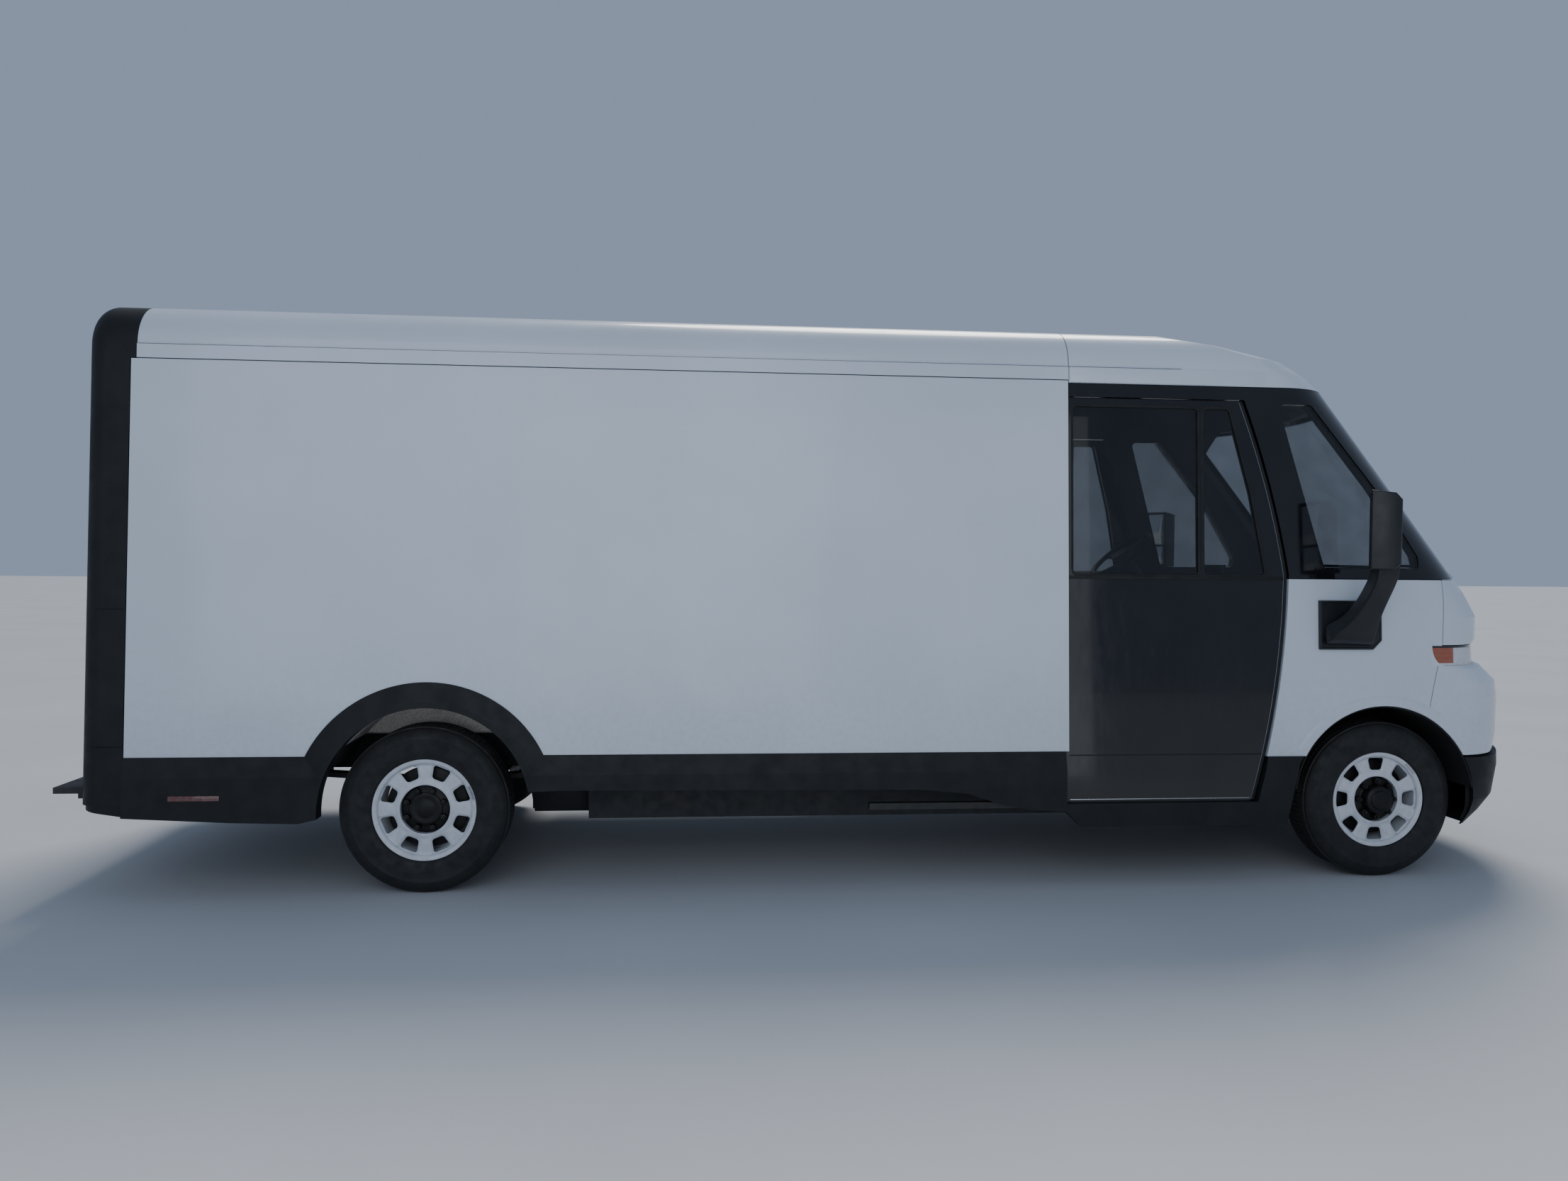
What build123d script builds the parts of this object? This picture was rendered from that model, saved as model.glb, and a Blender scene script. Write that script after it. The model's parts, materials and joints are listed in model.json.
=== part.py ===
"""Electric delivery van: walk-in cab, box body, steel wheels.

Millimetres. +X is forward, +Y is the left side, +Z is up. The origin is on the ground
at the middle of the length and width. Side walls lean inwards as they rise.
"""
import os
from math import cos, hypot, radians, sin

from build123d import *

# Driving lengths
WHEELBASE = 4650
FRONT_OVERHANG = 1010
REAR_OVERHANG = 1640
OVERALL = WHEELBASE + FRONT_OVERHANG + REAR_OVERHANG
FRONT_AXLE = OVERALL / 2 - FRONT_OVERHANG
REAR_AXLE = FRONT_AXLE - WHEELBASE
NOSE_X = FRONT_AXLE + FRONT_OVERHANG

# Side wall: half width at the sill, and how far it leans in per millimetre of height
HALF_WIDTH = 1030
LEAN = 0.0534
SILL_Z = 652

# Roof section
SHOULDER_Z = 2505
CROWN_EDGE_Y = 775
CROWN_EDGE_Z = 2695
ROOF_TOP = 2778
ROOF_SEAM_Z = 2442
SEAM = 4

# Wall build-up, as depths below the outer surface
SKIN = 6
DOOR_DEPTH = 12
DOOR_THICK = 42
LINER_DEPTH = 70
LINER_THICK = 18
LINER_IN = LINER_DEPTH + LINER_THICK
PANEL = 30
INNER_SHELL = 28
ROOF_THICK = 30
MOVING_GAP = 6
SEAT_GAP = 0.3

# Places along the body
PANEL_REAR = REAR_AXLE - 1289
BODY_REAR = REAR_AXLE - 1492
CAB_REAR = FRONT_AXLE - 1612
POCKET_REAR = CAB_REAR - 990
BULKHEAD_THICK = 40

# Cab door
DOOR_TRAVEL = 900
DOOR_TOP = 2356
DOOR_BOTTOM = 411
DOOR_REAR = CAB_REAR - 40
BELT_Z = 1487
WINDOW_TOP = 2322
WINDOW_BOTTOM = 1497
PANE_ROUND = 26
QUARTER_TOP = 2345
QUARTER_LOW = 1536
HEADER_Z = 2426

# Floors and frame
FLOOR_TOP = 695
FLOOR_THICK = 40
CAB_FLOOR_TOP = 620
RAIL_TOP = 580
RAIL_BOTTOM = 500
RAIL_Y = 420
RAIL_WIDE = 80

# Wheels
TYRE_R = 387
TYRE_WIDE = 235
RIM_R = 236
RIM_BED_R = 205
WHEEL_Y = 860
HUB_FACE = 855
KINGPIN_Y = 760
ARCH_R = 465
REAR_ARCH_R = 472
REAR_ARCH_RING = 588
REAR_ARCH_X = REAR_AXLE + 20
FRONT_ARCH_X = FRONT_AXLE - 14
ARCH_Z = 398

FAR = 1500


def half_width(z):
    """Half width of the outer surface at height z."""
    return HALF_WIDTH - LEAN * (z - SILL_Z)


def right_slab(outer, inner, x0, x1, z0, z1):
    """A leaning slab of the right wall between two depths below the outer surface."""
    with BuildPart() as slab:
        with BuildSketch(Plane.YZ.offset(x0)):
            Polygon(
                (outer - half_width(z0), z0),
                (inner - half_width(z0), z0),
                (inner - half_width(z1), z1),
                (outer - half_width(z1), z1),
                align=None,
            )
        extrude(amount=x1 - x0)
    return slab.part


def side_prism(points, y_reach=FAR, y_start=0, corner_r=0):
    """A prism over the right side from an outline of (x, z) points, corners rounded if asked."""
    with BuildPart() as prism:
        with BuildSketch(Plane.XZ.offset(y_start)) as outline:
            Polygon(*points, align=None)
            if corner_r:
                fillet(outline.vertices(), corner_r)
        extrude(amount=y_reach - y_start)
    return prism.part


def cross_disc(x, z, radius, y_start=0, y_reach=FAR):
    """A cylinder across the right side, from y_start outwards."""
    with BuildPart() as disc:
        with BuildSketch(Plane.XZ.offset(y_start)):
            with Locations((x, z)):
                Circle(radius)
        extrude(amount=y_reach - y_start)
    return disc.part


def block(x0, x1, y0, y1, z0, z1):
    """A box between two corners."""
    with BuildPart() as box:
        with Locations(((x0 + x1) / 2, (y0 + y1) / 2, (z0 + z1) / 2)):
            Box(x1 - x0, y1 - y0, z1 - z0)
    return box.part


def band(z0, z1):
    """Everything between two heights."""
    return block(-FAR * 4, FAR * 4, -FAR, FAR, z0, z1)


def body_section(inset, x0, x1, z_low, ease=0):
    """The full cross-section of the body, run along the length.

    With an ease the shoulders stand out by it and the side walls are left off, so that
    only the roof's curve cuts what it meets.
    """
    shoulder = half_width(SHOULDER_Z) - inset + ease
    foot = half_width(z_low) - inset
    walls = ((-foot, z_low), (foot, z_low))
    if ease:
        walls = ((-FAR, SHOULDER_Z), (-FAR, z_low), (FAR, z_low), (FAR, SHOULDER_Z))
    edge_y = CROWN_EDGE_Y - 0.24 * inset
    edge_z = CROWN_EDGE_Z - 0.97 * inset
    with BuildPart() as section:
        with BuildSketch(Plane.YZ.offset(x0)):
            with BuildLine():
                Polyline((-shoulder, SHOULDER_Z), *walls, (shoulder, SHOULDER_Z))
                TangentArc((-shoulder, SHOULDER_Z), (-edge_y, edge_z), tangent=(LEAN, 1))
                TangentArc((shoulder, SHOULDER_Z), (edge_y, edge_z), tangent=(-LEAN, 1))
                ThreePointArc((-edge_y, edge_z), (0, ROOF_TOP - inset), (edge_y, edge_z))
            make_face()
        extrude(amount=x1 - x0)
    return section.part


# Cab outline by height: z, nose ahead of the front axle, tuck of the sides
CAB_LEVELS = (
    (262, 850, 22),
    (330, 925, 8),
    (400, 985, 0),
    (540, 1010, 0),
    (605, 1008, 0),
    (618, 982, 0),
    (700, 998, 0),
    (900, 1000, 0),
    (970, 988, 0),
    (1045, 905, 0),
    (1060, 862, 0),
    (1160, 854, 0),
    (1184, 873, 0),
    (1300, 873, 0),
    (1420, 802, 0),
    (BELT_Z, 748, 0),
    (1940, 391, 0),
    (HEADER_Z, 4, 0),
    (2500, -82, 0),
    (2570, -204, 0),
    (2640, -498, 30),
    (2700, -825, 130),
    (2830, -1250, 550),
)
CORNER_R = 320
BOW_R = 1350
ROOF_EASE = 1


def cab_envelope(inset, drop, x_rear):
    """The cab's outer form, drawn in by inset and lowered by drop."""
    with BuildPart() as envelope:
        for z, ahead, tuck in CAB_LEVELS:
            wide = half_width(z - drop) - inset - tuck
            nose = FRONT_AXLE + ahead - inset
            corner = CORNER_R - inset
            bow = BOW_R - inset
            centre_y = wide - corner
            reach = bow - corner
            centre_x = nose - bow + (reach**2 - centre_y**2) ** 0.5
            ux, uy = (centre_x - nose + bow) / reach, centre_y / reach
            mx, my = ux, uy + 1
            norm = hypot(mx, my)
            join = (centre_x + corner * ux, centre_y + corner * uy)
            middle = (centre_x + corner * mx / norm, centre_y + corner * my / norm)
            with BuildSketch(Plane.XY.offset(z - drop)):
                with BuildLine():
                    Polyline(
                        (centre_x, -wide), (x_rear, -wide), (x_rear, wide), (centre_x, wide)
                    )
                    ThreePointArc((centre_x, wide), middle, join)
                    ThreePointArc(join, (nose, 0), (join[0], -join[1]))
                    ThreePointArc((join[0], -join[1]), (middle[0], -middle[1]), (centre_x, -wide))
                make_face()
        loft(ruled=True)
        add(body_section(inset, x_rear, NOSE_X, 0, ROOF_EASE), mode=Mode.INTERSECT)
    return envelope.part


def door_outline(grow, x_rear):
    """The cab door's outline on the right side, as a prism."""
    with BuildPart() as prism:
        with BuildSketch(Plane.XZ):
            with BuildLine():
                top = (FRONT_AXLE - 733 + grow, DOOR_TOP + grow)
                belt = (FRONT_AXLE - 510 + grow, 1508)
                foot = (FRONT_AXLE - 687 + grow, DOOR_BOTTOM - grow)
                ThreePointArc(top, (FRONT_AXLE - 591 + grow, 1903), belt)
                ThreePointArc(belt, (FRONT_AXLE - 553 + grow, 1012), foot)
                Polyline(foot, (x_rear, foot[1]), (x_rear, top[1]), top)
            make_face()
        extrude(amount=FAR)
    return prism.part


# Shared cutters and layers
outer_cab = cab_envelope(0, 0, CAB_REAR)
panel_inner = cab_envelope(PANEL, PANEL, CAB_REAR - 10)
shell_outer = cab_envelope(PANEL, PANEL, CAB_REAR)
shell_inner = cab_envelope(PANEL + INNER_SHELL, PANEL + INNER_SHELL, CAB_REAR - 10)
door_hole = door_outline(MOVING_GAP, CAB_REAR - 20)
front_arch = cross_disc(FRONT_ARCH_X, ARCH_Z, ARCH_R)

with BuildPart() as cab_panels:
    add(outer_cab)
    add(panel_inner, mode=Mode.SUBTRACT)
cab_skin = cab_panels.part

os.makedirs("parts", exist_ok=True)


def save(builder, name):
    """Label a finished piece and write it."""
    builder.part.label = name
    export_step(builder.part, f"parts/{name}.step")


# Cargo side walls: thick behind the pocket, a thin skin over it
arch_ring = cross_disc(REAR_ARCH_X, ARCH_Z, REAR_ARCH_RING)
with BuildPart() as cargo_sides:
    add(right_slab(0, LINER_DEPTH, PANEL_REAR, POCKET_REAR, SILL_Z, ROOF_SEAM_Z - SEAM))
    add(right_slab(0, SKIN, POCKET_REAR, CAB_REAR - SEAM, SILL_Z, ROOF_SEAM_Z - SEAM))
    add(arch_ring, mode=Mode.SUBTRACT)
    mirror(about=Plane.XZ)
save(cargo_sides, "cargo_sides")

# Inner lining of the load space, which is also the inner wall of the door pockets
rear_wheelhouse = cross_disc(REAR_ARCH_X, ARCH_Z, REAR_ARCH_R + 8, 600)
with BuildPart() as cargo_liners:
    add(
        right_slab(
            LINER_DEPTH,
            LINER_IN,
            PANEL_REAR - SEAM,
            CAB_REAR - BULKHEAD_THICK,
            FLOOR_TOP,
            ROOF_SEAM_Z,
        )
    )
    add(rear_wheelhouse, mode=Mode.SUBTRACT)
    mirror(about=Plane.XZ)
save(cargo_liners, "cargo_liners")

# Cargo roof with its side bands
with BuildPart() as cargo_roof:
    add(body_section(0, PANEL_REAR - SEAM + 30, CAB_REAR - SEAM, ROOF_SEAM_Z))
    add(body_section(ROOF_THICK, PANEL_REAR, CAB_REAR, ROOF_SEAM_Z - 50), mode=Mode.SUBTRACT)
    add(
        right_slab(
            -6, LINER_IN, PANEL_REAR - SEAM + 30, CAB_REAR - SEAM,
            ROOF_SEAM_Z, SHOULDER_Z,
        )
    )
    mirror(about=Plane.XZ)
save(cargo_roof, "cargo_roof")

# Load floor with four holes for a rack's feet
RACK_X = REAR_AXLE + 1650
RACK_SPACING_X = 400
RACK_SPACING_Y = 1500
RACK_HOLE_R = 5.5
with BuildPart() as cargo_floor:
    floor_half = half_width(FLOOR_TOP) - LINER_DEPTH
    add(
        block(
            PANEL_REAR - SEAM, CAB_REAR, -floor_half, floor_half, FLOOR_TOP - FLOOR_THICK, FLOOR_TOP
        )
    )
    add(rear_wheelhouse, mode=Mode.SUBTRACT)
    add(rear_wheelhouse.mirror(Plane.XZ), mode=Mode.SUBTRACT)
    with BuildSketch(Plane.XY.offset(FLOOR_TOP)):
        with Locations((RACK_X, 0)):
            with GridLocations(RACK_SPACING_X, RACK_SPACING_Y, 2, 2):
                Circle(RACK_HOLE_R)
    extrude(amount=-FLOOR_THICK, mode=Mode.SUBTRACT)
save(cargo_floor, "cargo_floor")


# Rear surround: a filleted hoop with the roller door's opening
OPENING_Y = 790
OPENING_LOW = 700
OPENING_HIGH = 2440
FRAME_LOW = 440
REAR_ROUND = 90
LAMP_IN = 135
LAMP_WIDE = 30
LAMP_DEEP = 12
LAMP_LOW = 900
TOW_Y = -600
TOW_Z = 600
TOW_R = 10.5
TOW_DEEP = 80
GROOVE = 4
REAR_SEAMS = (1312, 699)
lamp_front = BODY_REAR + LAMP_DEEP
with BuildPart() as lamp_ring:
    add(body_section(LAMP_IN, BODY_REAR, lamp_front, LAMP_LOW))
    add(body_section(LAMP_IN + LAMP_WIDE, BODY_REAR, lamp_front, LAMP_LOW - 50), mode=Mode.SUBTRACT)
save(lamp_ring, "tail_lamp")

# Where the surround's three mouldings meet on each side
with BuildPart() as seam_grooves:
    for z in REAR_SEAMS:
        add(block(BODY_REAR - 1, PANEL_REAR, -FAR, FAR, z - GROOVE / 2, z + GROOVE / 2))
    add(body_section(GROOVE, BODY_REAR + GROOVE, PANEL_REAR, FRAME_LOW), mode=Mode.SUBTRACT)
    add(
        block(BODY_REAR - 1, PANEL_REAR, -OPENING_Y - GROOVE, OPENING_Y + GROOVE, 0, ROOF_TOP),
        mode=Mode.SUBTRACT,
    )

with BuildPart() as rear_frame:
    add(body_section(0, BODY_REAR, PANEL_REAR - SEAM + 30, FRAME_LOW))
    rear_edges = rear_frame.faces().sort_by(Axis.X)[0].edges()
    fillet(rear_edges.filter_by(lambda edge: edge.center().Z > FRAME_LOW + 1), REAR_ROUND)
    add(
        block(BODY_REAR, 0, -OPENING_Y, OPENING_Y, OPENING_LOW, OPENING_HIGH), mode=Mode.SUBTRACT
    )
    add(block(BODY_REAR, 0, -OPENING_Y, OPENING_Y, 0, RAIL_BOTTOM), mode=Mode.SUBTRACT)
    add(block(PANEL_REAR - SEAM, 0, -FAR, FAR, 0, ROOF_SEAM_Z), mode=Mode.SUBTRACT)
    add(lamp_ring.part, mode=Mode.SUBTRACT)
    add(seam_grooves.part, mode=Mode.SUBTRACT)
    with BuildSketch(Plane.YZ.offset(BODY_REAR)):
        with Locations((TOW_Y, TOW_Z)):
            Circle(TOW_R)
    extrude(amount=TOW_DEEP, mode=Mode.SUBTRACT)
save(rear_frame, "rear_frame")

SLAT = 108
DOOR_FACE = BODY_REAR + 45
with BuildPart() as roller_door:
    add(block(DOOR_FACE, DOOR_FACE + 28, -OPENING_Y, OPENING_Y, OPENING_LOW, OPENING_HIGH))
    for z in range(OPENING_LOW + SLAT, OPENING_HIGH, SLAT):
        add(block(DOOR_FACE - 1, DOOR_FACE + 5, -FAR, FAR, z - 4, z + 4), mode=Mode.SUBTRACT)
    add(block(DOOR_FACE - 16, DOOR_FACE, -90, 90, OPENING_LOW + 30, OPENING_LOW + 60))
save(roller_door, "roller_door")

STEP_Y = 930
with BuildPart() as rear_step:
    add(block(REAR_AXLE - REAR_OVERHANG, BODY_REAR, -STEP_Y, STEP_Y, 474, 502))
    add(block(BODY_REAR - 40, BODY_REAR, -STEP_Y, STEP_Y, 452, 474))
save(rear_step, "rear_step")

# Cab outer panels
FENDER_LOW = 621
WINDSCREEN_Y = 800
LAMP_HIGH = 1160
LAMP_FLOOR = 1060
BUMPER_TOP = 608
nose_line = (
    (FRONT_AXLE + 303, BELT_Z),
    (FRONT_AXLE + 290, LAMP_HIGH),
    (FRONT_AXLE + 250, 1000),
    (FRONT_AXLE + 210, 815),
    (FRONT_AXLE + 200, FENDER_LOW),
)
quarter_outline = (
    (FRONT_AXLE - 553, QUARTER_TOP),
    (FRONT_AXLE - 376, QUARTER_TOP),
    (FRONT_AXLE - 44, 1942),
    (FRONT_AXLE + 172, 1601),
    (FRONT_AXLE + 172, QUARTER_LOW),
    (FRONT_AXLE - 320, QUARTER_LOW),
)
quarter_hole = side_prism(quarter_outline, corner_r=PANE_ROUND)
forward = tuple((x + SEAM, z) for x, z in nose_line)
nose_zone = side_prism(forward + ((NOSE_X + 50, FENDER_LOW), (NOSE_X + 50, BELT_Z)))


with BuildPart() as cab_roof:
    add(cab_skin)
    add(band(HEADER_Z + 2, ROOF_TOP + 50), mode=Mode.INTERSECT)
save(cab_roof, "cab_roof")

with BuildPart() as pillar_panels:
    add(cab_skin)
    add(block(CAB_REAR, NOSE_X, -FAR, -WINDSCREEN_Y, BELT_Z + 2, HEADER_Z - 2), mode=Mode.INTERSECT)
    add(door_hole, mode=Mode.SUBTRACT)
    add(quarter_hole, mode=Mode.SUBTRACT)
    mirror(about=Plane.XZ)
save(pillar_panels, "pillar_panels")

# Lamps across the nose
HEADLAMP_Y = 430
HEADLAMP_REAR = FRONT_AXLE + 237
with BuildPart() as lamp_zone:
    add(cab_skin)
    add(
        block(HEADLAMP_REAR, NOSE_X, -FAR, FAR, LAMP_FLOOR, LAMP_HIGH), mode=Mode.INTERSECT
    )
lamp_body = lamp_zone.part
with BuildPart() as headlamps:
    add(lamp_body)
    add(block(HEADLAMP_REAR, NOSE_X, -FAR, -HEADLAMP_Y, LAMP_FLOOR, LAMP_HIGH), mode=Mode.INTERSECT)
    mirror(about=Plane.XZ)
save(headlamps, "headlamps")
with BuildPart() as lamp_band:
    add(lamp_body)
    add(block(0, NOSE_X, -HEADLAMP_Y, HEADLAMP_Y, LAMP_FLOOR, LAMP_HIGH), mode=Mode.INTERSECT)
save(lamp_band, "lamp_band")

# Charge flap in the left fender, rolled about the hinge pin at its front edge
FLAP_REAR = FRONT_AXLE + 20
FLAP_FRONT = FRONT_AXLE + 170
FLAP_LOW = 1060
FLAP_HIGH = 1230
FLAP_THICK = 14
FLAP_POCKET = 20
PIN_R = 3
roll_r = FLAP_THICK / 2
flap_middle = (FLAP_LOW + FLAP_HIGH) / 2
flap_space = right_slab(
    -1, FLAP_POCKET, FLAP_REAR - MOVING_GAP, FLAP_FRONT + MOVING_GAP,
    FLAP_LOW - MOVING_GAP, FLAP_HIGH + MOVING_GAP,
)
hinge_plane = Plane(
    origin=(FLAP_FRONT - roll_r, half_width(flap_middle) - roll_r, flap_middle),
    x_dir=(1, 0, 0),
    z_dir=(0, -LEAN, 1),
)


def hinge_rod(radius, z0, z1):
    """A rod about the flap's hinge between two heights."""
    with BuildPart(hinge_plane) as rod:
        Cylinder(radius, 2 * (FLAP_HIGH - FLAP_LOW))
    with BuildPart() as cut_rod:
        add(rod.part)
        add(band(z0, z1), mode=Mode.INTERSECT)
    return cut_rod.part


flap_plate = right_slab(0, FLAP_THICK, FLAP_REAR, FLAP_FRONT - roll_r, FLAP_LOW, FLAP_HIGH)
with BuildPart() as charge_flap:
    add(flap_plate.mirror(Plane.XZ))
    add(hinge_rod(roll_r, FLAP_LOW, FLAP_HIGH))
    add(
        hinge_rod(PIN_R, FLAP_LOW - MOVING_GAP + SEAT_GAP, FLAP_HIGH + MOVING_GAP - SEAT_GAP)
    )
save(charge_flap, "charge_flap")

with BuildPart() as fenders:
    add(cab_skin)
    add(block(CAB_REAR, NOSE_X, -FAR, 0, FENDER_LOW, BELT_Z - 2), mode=Mode.INTERSECT)
    add(side_prism(nose_line + ((NOSE_X + 50, FENDER_LOW), (NOSE_X + 50, BELT_Z))), mode=Mode.SUBTRACT)
    add(door_hole, mode=Mode.SUBTRACT)
    add(front_arch, mode=Mode.SUBTRACT)
    add(lamp_body, mode=Mode.SUBTRACT)
    mirror(about=Plane.XZ)
    add(flap_space.mirror(Plane.XZ), mode=Mode.SUBTRACT)
save(fenders, "fenders")


def front_panel(z0, z1):
    """A panel across the nose between two heights, cut from the cab's skin."""
    with BuildPart() as panel:
        add(cab_skin)
        add(nose_zone, mode=Mode.INTERSECT)
        add(band(z0, z1), mode=Mode.INTERSECT)
        add(front_arch, mode=Mode.SUBTRACT)
        mirror(about=Plane.XZ)
    return panel


save(front_panel(LAMP_HIGH + SEAM, BELT_Z - 2), "nose_panel")
save(front_panel(BUMPER_TOP + SEAM, LAMP_FLOOR), "front_fascia")


# Black bumper with the plate that closes the nose below, clear of the steered tyres
BUMPER_REAR = FRONT_AXLE + 330
TRAY_REAR = FRONT_ARCH_X + ARCH_R - 60
TRAY_LOW = 275
TRAY_THICK = 12
FRONT_LINER_Y = 480
tyre_space = cross_disc(FRONT_ARCH_X, ARCH_Z, ARCH_R, FRONT_LINER_Y)
with BuildPart() as nose_tray:
    add(panel_inner)
    add(
        block(TRAY_REAR, NOSE_X, -FAR, FAR, TRAY_LOW, TRAY_LOW + TRAY_THICK), mode=Mode.INTERSECT
    )
with BuildPart() as front_bumper:
    add(cab_skin)
    add(block(BUMPER_REAR, NOSE_X, -FAR, FAR, 0, BUMPER_TOP), mode=Mode.INTERSECT)
    add(nose_tray.part)
    add(tyre_space, mode=Mode.SUBTRACT)
    add(tyre_space.mirror(Plane.XZ), mode=Mode.SUBTRACT)
save(front_bumper, "front_bumper")

# Glass
GLASS_OUT = 4
GLASS_IN = 12
glass_inner = cab_envelope(GLASS_IN, 0, CAB_REAR)
with BuildPart() as glass_layer:
    add(cab_envelope(GLASS_OUT, 0, CAB_REAR))
    add(glass_inner, mode=Mode.SUBTRACT)
    add(block(CAB_REAR, NOSE_X, -FAR, FAR, BELT_Z + 2, HEADER_Z - 2), mode=Mode.INTERSECT)
with BuildPart() as windscreen:
    add(glass_layer.part)
    add(
        block(FRONT_AXLE - 400, NOSE_X, -WINDSCREEN_Y, WINDSCREEN_Y, 0, FAR * 2), mode=Mode.INTERSECT
    )
save(windscreen, "windscreen")
with BuildPart() as quarter_glass:
    add(glass_layer.part)
    add(quarter_hole, mode=Mode.INTERSECT)
    mirror(about=Plane.XZ)
save(quarter_glass, "quarter_glass")

# Wipers parked along the foot of the windscreen
WIPER_PROUD = 10
WIPER_REACH = 620
WIPER_LOW = BELT_Z + 5
WIPER_RISE = 45
BLADE_WIDE = 16
ARM_WIDE = 24
with BuildPart() as wiper_layer:
    add(cab_envelope(-WIPER_PROUD, 0, CAB_REAR))
    add(cab_envelope(GLASS_OUT - SEAT_GAP, 0, CAB_REAR), mode=Mode.SUBTRACT)
with BuildPart() as wiper_outlines:
    with BuildSketch(Plane.YZ.offset(FRONT_AXLE + 300)):
        for pivot_y in (-660, 60):
            blade_low = WIPER_LOW + WIPER_RISE
            blade_start = pivot_y + 30
            blade_end = pivot_y + WIPER_REACH
            middle_y = (blade_start + blade_end) / 2
            Polygon(
                (blade_start, blade_low),
                (blade_end, blade_low + 10),
                (blade_end, blade_low + 10 + BLADE_WIDE),
                (blade_start, blade_low + BLADE_WIDE),
                align=None,
            )
            Polygon(
                (pivot_y, WIPER_LOW),
                (pivot_y + ARM_WIDE, WIPER_LOW),
                (middle_y, blade_low + 5),
                (middle_y - ARM_WIDE, blade_low + BLADE_WIDE - 2),
                (pivot_y, WIPER_LOW + ARM_WIDE),
                align=None,
            )
    extrude(amount=NOSE_X - FRONT_AXLE)
with BuildPart() as wipers:
    add(wiper_layer.part)
    add(wiper_outlines.part, mode=Mode.INTERSECT)
save(wipers, "wipers")

# Inner shell behind the cab's panels, with every opening cut
SCREEN_EDGE = 55
with BuildPart() as cab_shell:
    add(shell_outer)
    add(shell_inner, mode=Mode.SUBTRACT)
    add(block(CAB_REAR - 20, FRONT_AXLE + 90, -FAR, FAR, 0, FENDER_LOW), mode=Mode.SUBTRACT)
    add(block(CAB_REAR - 20, NOSE_X, -FAR, FAR, 0, TRAY_LOW + TRAY_THICK), mode=Mode.SUBTRACT)
    add(
        block(
            FRONT_AXLE - 150, NOSE_X, SCREEN_EDGE - WINDSCREEN_Y, WINDSCREEN_Y - SCREEN_EDGE,
            BELT_Z + SCREEN_EDGE, HEADER_Z - SCREEN_EDGE,
        ),
        mode=Mode.SUBTRACT,
    )
    for cutter in (door_hole, quarter_hole, front_arch):
        add(cutter, mode=Mode.SUBTRACT)
        add(cutter.mirror(Plane.XZ), mode=Mode.SUBTRACT)
save(cab_shell, "cab_shell")

# Black lower cladding: skirt, arch ring, sill band and the piece ahead of the door
CLAD_PROUD = 20
CLAD_EDGE = 5
CLAD_SLOPE = 90
CLAD_THICK = 60
SILL_START = REAR_AXLE + 640
SILL_SLOPE_X = FRONT_AXLE - 2340
DOOR_SILL = DOOR_BOTTOM - MOVING_GAP
RAIL_SEAT = 381
SILL_LOW = 295
REAR_GAP_X = REAR_AXLE - 412
skirt_outline = (
    (PANEL_REAR, SILL_Z),
    (SILL_START, SILL_Z),
    (SILL_START, 492),
    (REAR_AXLE + 455, 485),
    (REAR_AXLE + 455, ARCH_Z),
    (REAR_GAP_X, ARCH_Z),
    (REAR_AXLE - 450, 372),
    (REAR_AXLE - 531, 354),
    (REAR_AXLE - 818, 362),
    (REAR_AXLE - 1063, 375),
    (PANEL_REAR, 387),
)
DOOR_POST_X = FRONT_AXLE - 700
sill_outline = (
    (SILL_START, SILL_Z),
    (CAB_REAR - SEAM, SILL_Z),
    (CAB_REAR - SEAM, DOOR_SILL),
    (DOOR_POST_X, DOOR_SILL),
    (DOOR_POST_X, FENDER_LOW),
    (FRONT_AXLE - 440, FENDER_LOW),
    (FRONT_AXLE - 465, 583),
    (FRONT_AXLE - 512, 390),
    (FRONT_AXLE - 536, SILL_LOW),
    (FRONT_AXLE - 1560, SILL_LOW),
    (FRONT_AXLE - 1640, 368),
    (FRONT_AXLE - 1820, 380),
    (FRONT_AXLE - 1993, 419),
    (FRONT_AXLE - 2120, 460),
    (SILL_SLOPE_X, 480),
    (SILL_START, 492),
)
# The cladding slopes back to a slim edge along the panels: a wedge and a cone cut it
slope_low = SILL_Z - CLAD_SLOPE
with BuildPart() as edge_wedge:
    with BuildSketch(Plane.YZ.offset(PANEL_REAR)):
        Polygon(
            (-half_width(slope_low) - CLAD_PROUD, slope_low),
            (-half_width(SILL_Z) - CLAD_EDGE, SILL_Z),
            (-FAR, SILL_Z),
            (-FAR, slope_low),
            align=None,
        )
    extrude(amount=FRONT_AXLE - PANEL_REAR)
ring_plane = Plane(
    origin=(REAR_ARCH_X, -half_width(ARCH_Z), ARCH_Z), x_dir=(1, 0, 0), z_dir=(0, -1, LEAN)
)
with BuildPart() as ring_cone:
    with BuildSketch(Plane.XZ):
        Polygon(
            (REAR_ARCH_RING - CLAD_SLOPE, CLAD_PROUD),
            (REAR_ARCH_RING + CLAD_SLOPE, 2 * CLAD_EDGE - CLAD_PROUD),
            (REAR_ARCH_RING + CLAD_SLOPE, CLAD_SLOPE),
            (REAR_ARCH_RING - CLAD_SLOPE, CLAD_SLOPE),
            align=None,
        )
    revolve(axis=Axis.Z)
with BuildPart() as skirt:
    add(right_slab(-CLAD_PROUD, CLAD_THICK, PANEL_REAR, SILL_START, 300, SILL_Z))
    add(side_prism(skirt_outline), mode=Mode.INTERSECT)
    add(edge_wedge.part, mode=Mode.SUBTRACT)
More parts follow.
